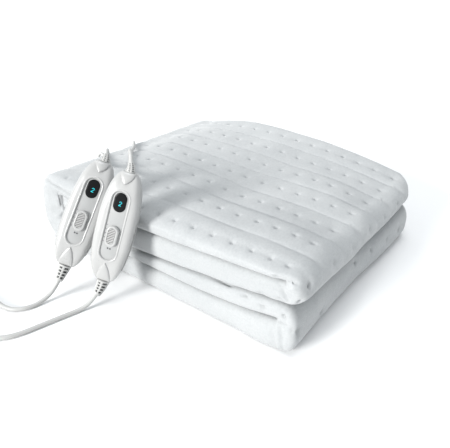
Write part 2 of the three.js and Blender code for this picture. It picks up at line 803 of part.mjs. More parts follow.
function controllerPieces(spec) {
  const { basis, centre } = controllerFrame(spec);
  const group = new THREE.Group();
  group.quaternion.setFromRotationMatrix(basis);
  group.position.copy(centre);
  const face = BODY_DEPTH / 2;
  const floor = face - PANEL_DROP - PANEL_THICK;
  const pocket = slab(PANEL_LENGTH, PANEL_WIDTH, floor - FIT_GAP, face + 20, PANEL_CENTRE_Y);
  const front = toManifold(shellSolid(true)).subtract(toManifold(pocket));
  group.add(named(`${spec.side}_front_shell`, fromManifold(front), GLOSS));
  group.add(named(`${spec.side}_back_shell`, shellSolid(false), GLOSS));
  const trim = 2 * FIT_GAP;
  const plate = slab(PANEL_LENGTH - trim, PANEL_WIDTH - trim, floor, floor + PANEL_THICK, PANEL_CENTRE_Y);
  const hole = slab(DISPLAY_LENGTH, DISPLAY_WIDTH, floor + 0.5, floor + 10, DISPLAY_Y);
  const panel = toManifold(plate).subtract(toManifold(hole));
  group.add(named(`${spec.side}_panel`, fromManifold(panel), GREY));
  const glassLow = floor + 0.5 + FIT_GAP;
  const glass = slab(DISPLAY_LENGTH - trim, DISPLAY_WIDTH - trim, glassLow, floor + PANEL_THICK + 0.3, DISPLAY_Y);
  group.add(named(`${spec.side}_display`, glass, BLACK));
  group.add(named(`${spec.side}_switch`, switchSolid(floor + PANEL_THICK + FIT_GAP), GREY));
  return group;
}

// The boots at both ends of a controller, in the pile's coordinates
function controllerBoots(spec) {
  const { along } = controllerFrame(spec);
  const foot = new THREE.Vector3(...spec.foot);
  const down = along.clone().negate();
  const level = new THREE.Vector3(down.x, down.y, 0).normalize();
  const drop = Math.asin(-down.z) - THREE.MathUtils.degToRad(spec.bend);
  const exit = level.multiplyScalar(Math.cos(drop)).add(new THREE.Vector3(0, 0, -Math.sin(drop)));
  const low = bootSolid(LOW_BOOT, foot.clone().addScaledVector(down, FIT_GAP), down, exit);
  const top = foot.clone().addScaledVector(along, BODY_LENGTH + FIT_GAP);
  const high = bootSolid(HIGH_BOOT, top, along, new THREE.Vector3(...spec.leave).normalize());
  return [
    named(`${spec.side}_lower_boot`, low.geometry, RUBBER),
    named(`${spec.side}_upper_boot`, high.geometry, RUBBER),
  ];
}

// A lead's tubes, its coil and, on a mains lead, its plug
function leadPieces({ name, coil, shape, before, after, plug }) {
  const pieces = [
    named(name, leadTube(before, shape.diameter), RUBBER),
    named(`${name}_coil`, coilRing(coil, shape), RUBBER),
    named(`${name}_end`, leadTube(after, shape.diameter), RUBBER),
  ];
  if (plug) pieces.push(plugPieces(name, plug.rear, plug.heading));
  return pieces;
}

const model = new THREE.Group();
model.position.set(-ORIGIN_X, -ORIGIN_Y, 0);
model.add(named("pad", padSolid(), FABRIC));
for (const spec of CONTROLLERS) {
  model.add(controllerPieces(spec));
  model.add(...controllerBoots(spec));
}
for (const lead of LEADS) model.add(...leadPieces(lead));

export default model;
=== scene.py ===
# Heated mattress pad, folded in a pile, with two hand controllers that lean on its front edge
#
# The pile is one quilted fleece strip in four legs. Its surface, the controllers and the leads
# are built here over the fixed solids. Sizes are in the pile's own millimetres, as in the part's
# source, and placed() turns them into the frame's metres.

import math

import bpy
import numpy as np
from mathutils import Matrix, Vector, noise


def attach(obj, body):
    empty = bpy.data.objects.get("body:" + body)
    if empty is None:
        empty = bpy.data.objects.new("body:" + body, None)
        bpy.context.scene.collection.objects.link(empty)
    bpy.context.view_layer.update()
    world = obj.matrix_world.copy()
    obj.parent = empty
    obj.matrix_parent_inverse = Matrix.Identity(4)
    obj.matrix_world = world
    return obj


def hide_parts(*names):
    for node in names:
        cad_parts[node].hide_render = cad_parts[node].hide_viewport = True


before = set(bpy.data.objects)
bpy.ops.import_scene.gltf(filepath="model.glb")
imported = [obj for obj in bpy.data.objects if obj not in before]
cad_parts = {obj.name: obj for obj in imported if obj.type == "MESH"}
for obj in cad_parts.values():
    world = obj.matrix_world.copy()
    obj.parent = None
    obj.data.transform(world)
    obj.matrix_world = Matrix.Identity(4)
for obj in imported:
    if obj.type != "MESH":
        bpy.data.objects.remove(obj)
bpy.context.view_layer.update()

ORIGIN = np.array([-4.0, -29.735, 0.0])
MM = 0.001


def placed(points):
    return (np.asarray(points, float) - ORIGIN) * MM


# Camera and studio

CAMERA_AZIMUTH = math.radians(36.61)
CAMERA_ELEVATION = math.radians(29.68)
CAMERA_TARGET = [73.1, -115.7, 98.3]
CAMERA_DISTANCE = 0.5696
CAMERA_LENS = 36.8


def add_camera():
    target = Vector(placed(CAMERA_TARGET))
    level = math.cos(CAMERA_ELEVATION)
    back = Vector((
        math.sin(CAMERA_AZIMUTH) * level,
        -math.cos(CAMERA_AZIMUTH) * level,
        math.sin(CAMERA_ELEVATION),
    ))
    data = bpy.data.cameras.new("camera")
    data.lens = CAMERA_LENS
    data.sensor_width = 36.0
    data.clip_start = 0.01
    camera = bpy.data.objects.new("camera", data)
    camera.location = target + back * CAMERA_DISTANCE
    camera.rotation_euler = (-back).to_track_quat("-Z", "Y").to_euler()
    bpy.context.collection.objects.link(camera)
    bpy.context.scene.camera = camera


add_camera()


# Materials

# Sockets of the mix node for colours
MIX_FIRST = 6
MIX_SECOND = 7
MIX_RESULT = 2


class Nodes:
    """A material's node tree, with short calls for the nodes used here"""

    def __init__(self, name):
        self.material = bpy.data.materials.new(name)
        self.material.use_nodes = True
        self.tree = self.material.node_tree
        self.shader = self.tree.nodes["Principled BSDF"]
        self.coordinates = self.tree.nodes.new("ShaderNodeTexCoord")

    def link(self, source, target):
        self.tree.links.new(source, target)

    def add(self, kind, constants, links):
        """A node with constants and links on its named inputs"""
        node = self.tree.nodes.new("ShaderNode" + kind)
        for name, value in constants.items():
            node.inputs[name].default_value = value
        for name, source in links.items():
            self.link(source, node.inputs[name])
        return node

    def noise(self, scale, detail=2.0, rough=0.5, stretch=(1, 1, 1)):
        mapping = self.add("Mapping", {"Scale": stretch}, {"Vector": self.coordinates.outputs["Object"]})
        constants = {"Scale": scale, "Detail": detail, "Roughness": rough}
        return self.add("TexNoise", constants, {"Vector": mapping.outputs["Vector"]}).outputs["Fac"]

    def ramp(self, value, low, high, start=0.3, end=0.7):
        node = self.add("ValToRGB", {}, {"Fac": value})
        first, last = node.color_ramp.elements
        first.position = start
        last.position = end
        first.color = (*low, 1.0)
        last.color = (*high, 1.0)
        return node.outputs["Color"]

    def spread(self, value, low, high):
        return self.add("MapRange", {"To Min": low, "To Max": high}, {"Value": value}).outputs["Result"]

    def multiply(self, first, second):
        node = self.tree.nodes.new("ShaderNodeMix")
        node.data_type = "RGBA"
        node.blend_type = "MULTIPLY"
        node.inputs["Factor"].default_value = 1.0
        self.link(first, node.inputs[MIX_FIRST])
        self.link(second, node.inputs[MIX_SECOND])
        return node.outputs[MIX_RESULT]

    def bump(self, value, distance, strength, below=None):
        node = self.add("Bump", {"Distance": distance, "Strength": strength}, {"Height": value})
        if below is not None:
            self.link(below, node.inputs["Normal"])
        return node.outputs["Normal"]


def shaded(base, share):
    return tuple(min(1.0, channel * share) for channel in base)


MOTTLE_SCALE = 45
WEAR_SCALE = 160
WEAR = 0.2
GRAIN_SCALE = 900
COAT_ROUGHNESS = 0.12


def moulded(name, base, roughness, grain=0.00003, mottle=0.03, metallic=0.0, coat=0.0, specular=0.5):
    """Moulded plastic, rubber or plated metal: faint mottle, uneven gloss and fine grain"""
    nodes = Nodes(name)
    shader = nodes.shader
    low, high = shaded(base, 1 - mottle), shaded(base, 1 + mottle)
    nodes.link(nodes.ramp(nodes.noise(MOTTLE_SCALE, 3), low, high), shader.inputs["Base Color"])
    worn = nodes.spread(nodes.noise(WEAR_SCALE), roughness * (1 - WEAR), roughness * (1 + WEAR))
    nodes.link(worn, shader.inputs["Roughness"])
    nodes.link(nodes.bump(nodes.noise(GRAIN_SCALE), grain, 0.6), shader.inputs["Normal"])
    shader.inputs["Metallic"].default_value = metallic
    shader.inputs["Specular IOR Level"].default_value = specular
    shader.inputs["Coat Weight"].default_value = coat
    shader.inputs["Coat Roughness"].default_value = COAT_ROUGHNESS
    return nodes.material


FLEECE_LIGHT = (0.425, 0.435, 0.438)
FLEECE_DARK = (0.385, 0.397, 0.402)


def fleece_material():
    """Soft brushed fleece: short nap in clumps, faint pilling and cloudy shade"""
    nodes = Nodes("fleece")
    shader = nodes.shader
    cloud = nodes.ramp(nodes.noise(22, 4, 0.6), FLEECE_DARK, FLEECE_LIGHT)
    nap = nodes.noise(420, 5, 0.72, (1.0, 0.62, 1.0))
    fibre = nodes.noise(1500, 3, 0.7)
    speckle = nodes.ramp(nap, (0.9, 0.905, 0.91), (1.0, 1.0, 1.0), 0.34, 0.6)
    nodes.link(nodes.multiply(cloud, speckle), shader.inputs["Base Color"])
    clumps = nodes.bump(nodes.noise(95, 4, 0.65), 0.0011, 0.55)
    tufts = nodes.bump(nap, 0.0007, 0.7, clumps)
    nodes.link(nodes.bump(fibre, 0.00025, 0.6, tufts), shader.inputs["Normal"])
    shader.inputs["Roughness"].default_value = 1.0
    shader.inputs["Specular IOR Level"].default_value = 0.12
    shader.inputs["Sheen Weight"].default_value = 0.35
    shader.inputs["Sheen Roughness"].default_value = 0.45
    return nodes.material


FLEECE = fleece_material()
GLOSS = moulded("gloss_white", (0.39, 0.39, 0.385), 0.3, coat=0.25)
PANEL = moulded("panel_grey", (0.335, 0.338, 0.336), 0.42, mottle=0.04)
GRIP = moulded("grip_grey", (0.345, 0.343, 0.34), 0.55, grain=0.00006)
# Painted shade for the grooves between the ridges of the switch's grip
GROOVE_SHADE = moulded("groove_shade", (0.235, 0.233, 0.23), 0.6, grain=0.00006)
# Near-black: the dark joint inside the shells' seam, and painted shade on the floors of the lower boots'
# slots
SEAM_DARK_AND_SLOT_SHADE = moulded("seam_dark_and_slot_shade", (0.035, 0.035, 0.037), 0.7)
INK = moulded("ink_grey", (0.2, 0.2, 0.205), 0.6)
DARK_INK = moulded("ink_dark", (0.07, 0.07, 0.075), 0.6)
# Painted shade on the floors of the upper boots' and the plugs' slots
SHADE = moulded("painted_slot_shade", (0.15, 0.15, 0.15), 0.7)
RUBBER = moulded("cord_white", (0.43, 0.43, 0.42), 0.45, grain=0.00006)
NICKEL = moulded("nickel", (0.66, 0.65, 0.61), 0.2, metallic=1.0)
GLASS = moulded("display_black", (0.006, 0.0065, 0.007), 0.3, mottle=0.2, grain=0.000005, specular=0.12)


def lit_material():
    nodes = Nodes("display_lit")
    shader = nodes.shader
    glow = nodes.ramp(nodes.noise(600, 1), (0.0, 0.28, 0.33), (0.01, 0.5, 0.56))
    nodes.link(glow, shader.inputs["Base Color"])
    nodes.link(glow, shader.inputs["Emission Color"])
    shader.inputs["Emission Strength"].default_value = 0.9
    return nodes.material


LIT = lit_material()


# Mesh helpers

def piece(
    name, vertices, faces, material, slot, body="pad", soft=True, replaces=(), second=None, indices=None,
    sharp=None,
):
    """A mesh object from vertices in metres, that rides on a body; its slot argument is not used

    Faces with index 1 take the second material, and edges past the angle sharp, in degrees, stay sharp.
    """
    mesh = bpy.data.meshes.new(name)
    mesh.from_pydata([tuple(v) for v in vertices], [], [tuple(f) for f in faces])
    mesh.materials.append(material)
    if second is not None:
        mesh.materials.append(second)
        mesh.polygons.foreach_set("material_index", np.asarray(indices, dtype=np.int32))
    mesh.polygons.foreach_set("use_smooth", np.full(len(mesh.polygons), soft))
    mesh.update()
    obj = bpy.data.objects.new(name, mesh)
    bpy.context.collection.objects.link(obj)
    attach(obj, body)
    if replaces:
        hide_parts(*replaces)
    if sharp is not None:
        mesh.set_sharp_from_angle(angle=math.radians(sharp))
    return obj


def ring_faces(rows, columns, closed=True):
    """Quads between rows of points, with the rows closed round or open"""
    faces = []
    last = columns if closed else columns - 1
    for i in range(rows - 1):
        for j in range(last):
            a = i * columns + j
            b = i * columns + (j + 1) % columns
            faces.append((a, b, b + columns, a + columns))
    return faces


def loft(rings):
    """Vertices and faces of a closed skin through rings of the same number of points"""
    count = len(rings[0])
    faces = ring_faces(len(rings), count)
    faces.append(tuple(reversed(range(count))))
    start = (len(rings) - 1) * count
    faces.append(tuple(range(start, start + count)))
    return np.concatenate(rings), faces


def flipped(faces):
    return [tuple(reversed(face)) for face in faces]


def smooth(value):
    t = np.clip(value, 0.0, 1.0)
    return t * t * (3 - 2 * t)


# The pile: one quilted strip in four legs, by the same dimensions as the part's source

PAD_FRONT = -178
LOW_FRONT = -175
LOW_FRONT_RIGHT = -178
TOP_BACK = 200
LOW_BACK = 187
TURN_X = 190
TURN_REACH = 27.5
LOW_TURN_IN = -6.5
LOW_TURN_OUT = 4.5
LOW_SQUARE = 0.7
TOP_CORNER = 24
LOW_CORNER = 13
NOSE_POWER = 0.5
WRAP_X = -184
WRAP_REACH = 46
WRAP_FLARE = 8
WRAP_HOLLOW = 4
WRAP_SQUARE = 0.72
TURN_SQUARE = 0.95
FREE_END_TWO = -184.5
FREE_END_THREE = -184
LEG_GAP = 0.5
POCKET = 1.2
LOW_POCKET = 0.9
POCKET_START = 140
SHOULDER = 38
SHOULDER_LEFT = 17
SHOULDER_RUN = 110
EDGE_ROUND = 10
LOW_ROUND = 7
BACK_ROUND = 22
INNER_FRONT = -176
LOW_FRONT_START = 120
LOW_FRONT_RUN = 60
LOW_TURN_START = -60
LOW_TURN_RUN = 200
FLARE_START = -90
FLARE_RUN = 60

ROW_PITCH = 54
ROW_COUNT = 7
FRONT_ROW_Y = -161
SPOT_X = [188, 163, 137, 111, 83, 55, 26, -2, -31, -60, -89, -118, -147, -176]
SPOT_SKEW = 0.04
SKEW_FADE = 40

TOP = (
    [-185, -150, -100, -50, 0, 50, 100, 150, 190],
    [-161, -107, -53, 1, 55, 109, 163, 190],
    [
        [112, 112, 112, 112, 112, 113, 113, 112, 110],
        [111, 116, 118, 117, 116, 113, 112, 112, 108],
        [111, 117, 119, 117, 113, 107, 107, 104, 99],
        [110, 117, 117, 113, 110, 106, 105, 104, 100],
        [109, 117, 117, 115, 111, 107, 106, 102, 92],
        [108, 115, 117, 115, 114, 109, 104, 98, 90],
        [107, 115, 120, 121, 119, 114, 108, 100, 91],
        [107, 116, 124, 125, 122, 118, 111, 101, 91],
    ],
)
GAP_X = [-185, -100, 0, 100, 190]
GAP_Y = [-165, -53, 55, 163]
GAP_ONE = (
    GAP_X,
    GAP_Y,
    [[84, 84.5, 87, 91.5, 97], [86, 88, 83, 79, 76], [86, 88, 83, 78, 73], [86, 90, 88, 80, 72]],
)
GAP_TWO = (
    GAP_X,
    GAP_Y,
    [[44, 45, 51, 59, 67], [54, 54, 52, 53, 57], [56, 56, 54, 52, 52], [56, 58, 56, 54, 51]],
)
GAP_THREE = (
    GAP_X,
    GAP_Y,
    [[33, 34, 33, 33, 43], [28, 28, 27, 28, 31], [28, 28, 27, 27, 27], [28, 29, 28, 27, 27]],
)


def knot_shares(knots, at):
    """How much of each knot's value a smooth line takes at each place"""
    knots = np.asarray(knots, float)
    at = np.clip(np.atleast_1d(np.asarray(at, float)), knots[0], knots[-1])
    last = len(knots) - 1
    i = np.clip(np.searchsorted(knots, at, side="right") - 1, 0, last - 1)
    span = knots[i + 1] - knots[i]
    t = (at - knots[i]) / span
    shares = np.zeros((len(at), len(knots)))
    rows = np.arange(len(at))
    rise = t * t * (3 - 2 * t)
    shares[rows, i] += 1 - rise
    shares[rows, i + 1] += rise
    for k, weight in ((i, t * (1 - t) ** 2 * span), (i + 1, t * t * (t - 1) * span)):
        low, high = np.maximum(0, k - 1), np.minimum(last, k + 1)
        run = knots[high] - knots[low]
        np.add.at(shares, (rows, high), weight / run)
        np.add.at(shares, (rows, low), -weight / run)
    return shares


def height_at(table, x, y):
    knots_x, knots_y, heights = table
    x, y = np.broadcast_arrays(np.asarray(x, float), np.asarray(y, float))
    shares_x, shares_y = knot_shares(knots_x, x), knot_shares(knots_y, y)
    return np.einsum("ni,ij,nj->n", shares_y, np.array(heights, float), shares_x)


def leg_faces(leg, x, y):
    """The strip's outer and inner face at a place on a leg, as (x, z) for each y"""
    reach = smooth((x - POCKET_START) / (TURN_X - POCKET_START))
    pocket = POCKET if leg < 3 else LOW_POCKET
    opening = LEG_GAP + (pocket - LEG_GAP) * reach
    level = np.full_like(y, x)
    if leg == 1:
        fade = smooth((TURN_X - x) / SKEW_FADE) * smooth((x - WRAP_X) / SKEW_FADE)
        shifted = x - SPOT_SKEW * y * fade
        return (shifted, height_at(TOP, shifted, y)), (level, height_at(GAP_ONE, x, y) + opening)
    if leg == 2:
        return (level, height_at(GAP_TWO, x, y) + LEG_GAP), (level, height_at(GAP_ONE, x, y) - opening)
    share = smooth((y - LOW_TURN_START) / LOW_TURN_RUN)
    skewed = x + (LOW_TURN_IN + (LOW_TURN_OUT - LOW_TURN_IN) * share) * reach
    gap = height_at(GAP_THREE, x, y)
    if leg == 3:
        return (skewed, height_at(GAP_TWO, x, y) - LEG_GAP), (skewed, gap + opening)
    return (skewed, np.zeros_like(y)), (skewed, gap - opening)


def squared(value, power):
    """A cosine or sine, pushed out towards a square corner by a power under 1"""
    return math.copysign(abs(value) ** power, value)


def round_faces(low, high, x, angle, reach, square, y):
    """The same where the strip goes round from one leg to another"""
    a = math.radians(angle)
    below, above = leg_faces(low, x, y), leg_faces(high, x, y)
    faces = []
    for side, power in ((0, square), (1, 1)):
        (x_low, z_low), (x_high, z_high) = below[side], above[side]
        x_round = (x_low + x_high) / 2 + reach[side] * squared(math.cos(a), power)
        z_round = (z_low + z_high) / 2 + (z_high - z_low) / 2 * squared(math.sin(a), power)
        faces.append((x_round, z_round))
    return faces


ROUND_ANGLES = [0, 2, 4, 7, 10, 14, 19, 26, 33, 40, 46, 50, 53, 56, 59, 62, 65, 68, 72, 77, 83]
BACK_ANGLES = [84, 74, 64, 54, 44, 34, 24, 14, 5, 0]
INNER_ANGLES = [1, 3, 8, 20, 34, 48, 62, 76]
ROW_STEPS = [-8, -5, -3, -1.5, 0, 1.5, 3, 5, 8]
CREASE_STEPS = [-15, -11, -7.5, -4.5, -2.5, -1.2, 0, 1.2, 2.5, 4.5, 7.5, 11, 15]
INNER_STEP = 45
EDGE_BLEND = 60
ROWS_KEPT_BEHIND = LOW_BACK + 5


def across_places():
    """Places across the strip: edge (+1 front, -1 back, 0 between), angle or y, and which face"""
    places = [("front", angle, 0) for angle in ROUND_ANGLES]
    between = []
    for row in range(ROW_COUNT):
        y = FRONT_ROW_Y + row * ROW_PITCH
        if row > 0:
            between += [y + step for step in ROW_STEPS]
        if row < ROW_COUNT - 1:
            between += [y + ROW_PITCH / 2 + step for step in CREASE_STEPS]
    low, high = PAD_FRONT + SHOULDER + 1, TOP_BACK - BACK_ROUND - 1
    places += [("flat", y, 0) for y in between if low < y < high]
    places += [("back", angle, 0) for angle in BACK_ANGLES]
    places += [("back", angle, 1) for angle in INNER_ANGLES]
    places += [("flat", y, 1) for y in np.arange(high - 4, low + 4, -INNER_STEP)]
    places += [("front", angle, 1) for angle in reversed(INNER_ANGLES)]
    return places


PLACES = across_places()


def ring_places(front, shoulder, back, power):
    """y, fullness and face for each place, with the flat places squeezed between the edges"""
    y, full, side = [], [], []
    for kind, value, face in PLACES:
        nose = math.radians(value) if kind != "flat" else 0.0
        bend = shoulder if face == 0 else EDGE_ROUND
        if kind == "front":
            y.append(front + bend * (1 - math.cos(nose)))
            full.append(math.sin(nose) ** (power if face == 0 else NOSE_POWER))
        elif kind == "back":
            y.append(back - BACK_ROUND * (1 - math.cos(nose)))
            full.append(math.sin(nose))
        else:
            y.append(value)
            full.append(1.0)
        side.append(face)
    y, full, side = np.array(y), np.array(full), np.array(side)
    low, high = PAD_FRONT + SHOULDER, TOP_BACK - BACK_ROUND
    flat = np.array([kind == "flat" for kind, _, _ in PLACES])
    starts = np.where(side == 0, front + shoulder, front + EDGE_ROUND)
    squeezed = starts + (y - low) / (high - low) * (back - BACK_ROUND - starts)
    keep = smooth((y - low) / EDGE_BLEND) * smooth((high - y) / EDGE_BLEND) * (back > ROWS_KEPT_BEHIND)
    y = np.where(flat, keep * y + (1 - keep) * squeezed, y)
    return y, full, side


def leg_edges(leg, x):
    """The front edge, its rounding, the back edge and the front's power at a place on a leg"""
    shoulder = SHOULDER_LEFT + (SHOULDER - SHOULDER_LEFT) * smooth((x - WRAP_X) / SHOULDER_RUN)
    low_front = LOW_FRONT + (LOW_FRONT_RIGHT - LOW_FRONT) * smooth((x - LOW_FRONT_START) / LOW_FRONT_RUN)
    return {
        1: (PAD_FRONT, shoulder, TOP_BACK, 1.0),
        2: (INNER_FRONT, EDGE_ROUND, TOP_BACK - 3, NOSE_POWER),
        3: (INNER_FRONT, EDGE_ROUND, LOW_BACK - 3, NOSE_POWER),
        4: (low_front, LOW_ROUND, LOW_BACK, NOSE_POWER),
    }[leg]


LEG_STEP = 14.0
END_STEP = 4.0
TURN_STEP = 5.5
BETWEEN_STEP = 4.5
FINE_LEFT = -130
FINE_RIGHT = 120


def span(start, end, step):
    """Even places from start to end, about a step apart"""
    count = max(1, round(abs(end - start) / step))
    return np.linspace(start, end, count + 1)


def leg_run(start):
    """Places along a leg from its left end, closer together near both ends"""
    left = span(start, FINE_LEFT, END_STEP)[:-1]
    right = span(FINE_RIGHT, TURN_X - END_STEP, END_STEP)[1:]
    return [*left, *span(FINE_LEFT, FINE_RIGHT, LEG_STEP), *right]


def spot_run():
    """Places along the top leg, close together at each column of weld spots"""
    places = []
    for column, x in enumerate(SPOT_X):
        for offset in reversed(ROW_STEPS):
            if (column > 0 or offset <= 0) and x + offset > WRAP_X:
                places.append(x + offset)
        if column < len(SPOT_X) - 1:
            places += list(span(x + ROW_STEPS[0], SPOT_X[column + 1] + ROW_STEPS[-1], BETWEEN_STEP)[1:-1])
    return places


def leg_stations(leg, places):
    return [(("leg", leg, float(x)), leg_edges(leg, x)) for x in places]


def turn_stations(kind, start, first, last, corner=0):
    """Stations round a turn, with edges that go from one leg's to the next leg's"""
    stations = []
    for angle in np.arange(start, start + 179, TURN_STEP):
        k = float(smooth((angle - start) / 180))
        front, bend, back, power = (a + (b - a) * k for a, b in zip(first, last))
        back -= corner * math.cos(math.radians(angle))
        stations.append(((kind, angle), (front, bend, back, power)))
    return stations


def strip_stations():
    """Every station of the strip, from the end of leg 2 to the end of leg 3: where it is, and its edges"""
    inner = (INNER_FRONT, EDGE_ROUND, TOP_BACK - 1, NOSE_POWER)
    outer = (PAD_FRONT, SHOULDER, TOP_BACK - 1, 1)
    wrap_top = (PAD_FRONT, SHOULDER_LEFT, TOP_BACK, 1.0)
    wrap_low = (LOW_FRONT, LOW_ROUND, LOW_BACK, NOSE_POWER)
    low_outer = (LOW_FRONT_RIGHT, EDGE_ROUND, LOW_BACK, NOSE_POWER)
    low_inner = (INNER_FRONT, EDGE_ROUND, LOW_BACK, NOSE_POWER)
    return [
        *leg_stations(2, leg_run(FREE_END_TWO)),
        *turn_stations("upper", -90, inner, outer, TOP_CORNER),
        *leg_stations(1, spot_run()),
        *turn_stations("wrap", 90, wrap_top, wrap_low),
        *leg_stations(4, leg_run(WRAP_X)),
        *turn_stations("lower", -90, low_outer, low_inner, LOW_CORNER),
        *leg_stations(3, [TURN_X, *reversed(leg_run(FREE_END_THREE))]),
    ]


def station_faces(where, y):
    kind = where[0]
    if kind == "leg":
        return leg_faces(where[1], where[2], y)
    if kind == "upper":
        return round_faces(2, 1, TURN_X, where[1], (TURN_REACH, POCKET), TURN_SQUARE, y)
    if kind == "lower":
        return round_faces(4, 3, TURN_X, where[1], (TURN_REACH, LOW_POCKET), LOW_SQUARE, y)
    reach = WRAP_REACH + WRAP_FLARE * smooth((FLARE_START - y) / FLARE_RUN)
    return round_faces(4, 1, WRAP_X, where[1], (reach, WRAP_HOLLOW), WRAP_SQUARE, y)


def section(where, edges, y=None, full=None, side=None):
    """Points of the strip's section at a station, in the pile's millimetres"""
    if y is None:
        y, full, side = ring_places(*edges)
    (x_out, z_out), (x_in, z_in) = station_faces(where, y)
    x_mid, z_mid = (x_out + x_in) / 2, (z_out + z_in) / 2
    x_face = np.where(side == 0, x_out, x_in)
    z_face = np.where(side == 0, z_out, z_in)
    return np.column_stack([x_mid + (x_face - x_mid) * full, y, z_mid + (z_face - z_mid) * full])


# Quilting and folds of the cloth, laid over the strip's plain section

SPOT_DEPTH = 2.7
SPOT_WIDTH = 2.3
PULL_DEPTH = 0.8
PULL_WIDTH = 8.0
CREASE_DEPTH = 1.7
CREASE_WIDTH = 2.4
PUFF = 1.1
ROW_END_RUN = 12
TURN_SPOT_ANGLE = 20


def spot_points():
    """Every weld spot on the top leg and on the turn beside it"""
    places = [(("leg", 1, float(x)), leg_edges(1, x)) for x in SPOT_X]
    places.append((("upper", TURN_SPOT_ANGLE), (PAD_FRONT, SHOULDER)))
    points = []
    for row in range(ROW_COUNT):
        y = FRONT_ROW_Y + row * ROW_PITCH
        for where, edges in places:
            share = min(1.0, (y - edges[0]) / edges[1])
            full = math.sqrt(max(0.0, 1 - (1 - share) ** 2))
            points.append(section(where, edges, np.array([float(y)]), np.array([full]), np.array([0]))[0])
    return points


LOW_SPOT_SHARE = 1.7
LOW_SPOTS = [
    (210.4, -111.4, 23.5), (210.7, -15.3, 41.2), (214.7, 31.1, 37.6), (219, 79.6, 31.7),
    (221.3, 124.3, 29.9), (117.1, -169.2, 56.8), (144.1, -173.9, 56.7), (168.4, -175.6, 54.2),
    (194.2, -175.8, 54), (209.9, -169, 37.1), (164, -174.1, 68.7), (188.9, -175.4, 74.1),
    (209.7, -171.7, 78.1), (213.7, -162.2, 94.1),
]

# Wrinkles: the points each runs through, its depth and its width
WRINKLES = [
    ([(-229, -166, 104), (-205, -176, 103), (-182, -178, 99), (-147, -178, 95.6)], 4.5, 2.8),
    ([(-226, -172, 44), (-203, -176, 52.8), (-173, -176, 64), (-160, -175, 66)], 5.0, 2.6),
    ([(-222, -172, 56), (-203, -172, 62), (-176, -170, 67)], 3.0, 2.2),
    ([(-222, -172, 78), (-203, -172, 74), (-178, -170, 70)], 3.0, 2.4),
    ([(-212, -174, 92), (-196, -172, 83), (-178, -170, 73)], 2.6, 2.4),
    ([(-216, -170, 22), (-198, -173, 40), (-176, -172, 60)], 3.0, 2.8),
    ([(-194, -172, 12), (-186, -174, 34), (-172, -173, 58)], 3.0, 2.6),
    ([(184.5, -177.4, 101.7), (190.2, -175.2, 88.5), (197.2, -175.6, 76.5)], 3.4, 2.4),
    ([(184, -177, 102), (195, -177, 104), (206, -174, 103)], 4.0, 2.0),
    ([(168, -176, 84), (180, -176, 87), (188, -176, 86)], 1.5, 2.4),
    ([(186, -176, 43), (196, -176, 44.5), (205, -175, 43)], 3.0, 1.8),
    ([(206.4, -174.8, 40.5), (210, -168.2, 37.6), (212, -160, 37)], 2.6, 2.2),
    ([(175, -173, 34), (177, -175, 18), (178, -175, 3)], 3.0, 2.6),
    ([(183, -173, 36), (186, -176, 20), (188, -176, 3)], 3.4, 2.6),
    ([(192, -176, 42), (196, -176, 24), (197, -176, 4)], 2.6, 2.8),
]

# Hollows and lumps: the middle of each, its half sizes and its depth
HOLLOWS = [
    ((-190, -172, 70), (34, 40, 30), 7.0),
    ((-164, -175, 76), (10, 20, 10), -3.5),
    ((195, -177, 101.5), (7, 12, 4.2), 9.0),
    ((201, -177.5, 97), (5, 8, 3.5), -2.4),
    ((205, -172, 83), (9, 14, 5), 2.2),
]


def rolling(points, scale, seed):
    """Smooth noise between about -1 and 1 at points, with a length scale for each axis"""
    return np.array([noise.noise(Vector(p)) for p in points / np.array(scale) + seed])


def line_distance(points, line):
    """Distance from each point to a line of straight parts"""
    best = np.full(len(points), np.inf)
    for start, end in zip(line, line[1:]):
        run = end - start
        share = np.clip((points - start) @ run / (run @ run), 0, 1)
        best = np.minimum(best, np.linalg.norm(points - start - share[:, None] * run, axis=1))
    return best


def vertex_normals(vertices, faces):
    quads = np.array([face for face in faces if len(face) == 4])
    a, b, c, d = (vertices[quads[:, k]] for k in range(4))
    flat = np.cross(c - a, d - b)
    normals = np.zeros_like(vertices)
    for k in range(4):
        np.add.at(normals, quads[:, k], flat)
    return normals / np.maximum(np.linalg.norm(normals, axis=1, keepdims=True), 1e-9)


def top_share(where):
    """How far a station is part of the pile's top, from 0 to 1"""
    if where[0] == "upper":
        return smooth((where[1] + 40) / 80) * 0.85
    if where[0] == "wrap":
        return smooth((150 - where[1]) / 60)
    return 1.0 if where[:2] == ("leg", 1) else 0.0


def add_rows(move, vertices, on_top):
    """Creases between the rows of spots, and the puff of each row"""
    y = vertices[:, 1]
    row_phase = (y - FRONT_ROW_Y) / ROW_PITCH
    from_row = (row_phase - np.round(row_phase)) * ROW_PITCH
    from_crease = np.abs(np.abs(from_row) - ROW_PITCH / 2)
    last = FRONT_ROW_Y + (ROW_COUNT - 1) * ROW_PITCH
    between = smooth((y - FRONT_ROW_Y) / ROW_END_RUN) * smooth((last - y) / ROW_END_RUN)
    groove = np.exp(-np.sqrt(from_crease ** 2 + 0.6) / CREASE_WIDTH)
    wander = 0.8 + 0.4 * rolling(vertices, (45, 30, 60), 3.1)
    move -= on_top * between * CREASE_DEPTH * groove * wander
    move += on_top * between * PUFF * (1 - (from_row / (ROW_PITCH / 2)) ** 2)


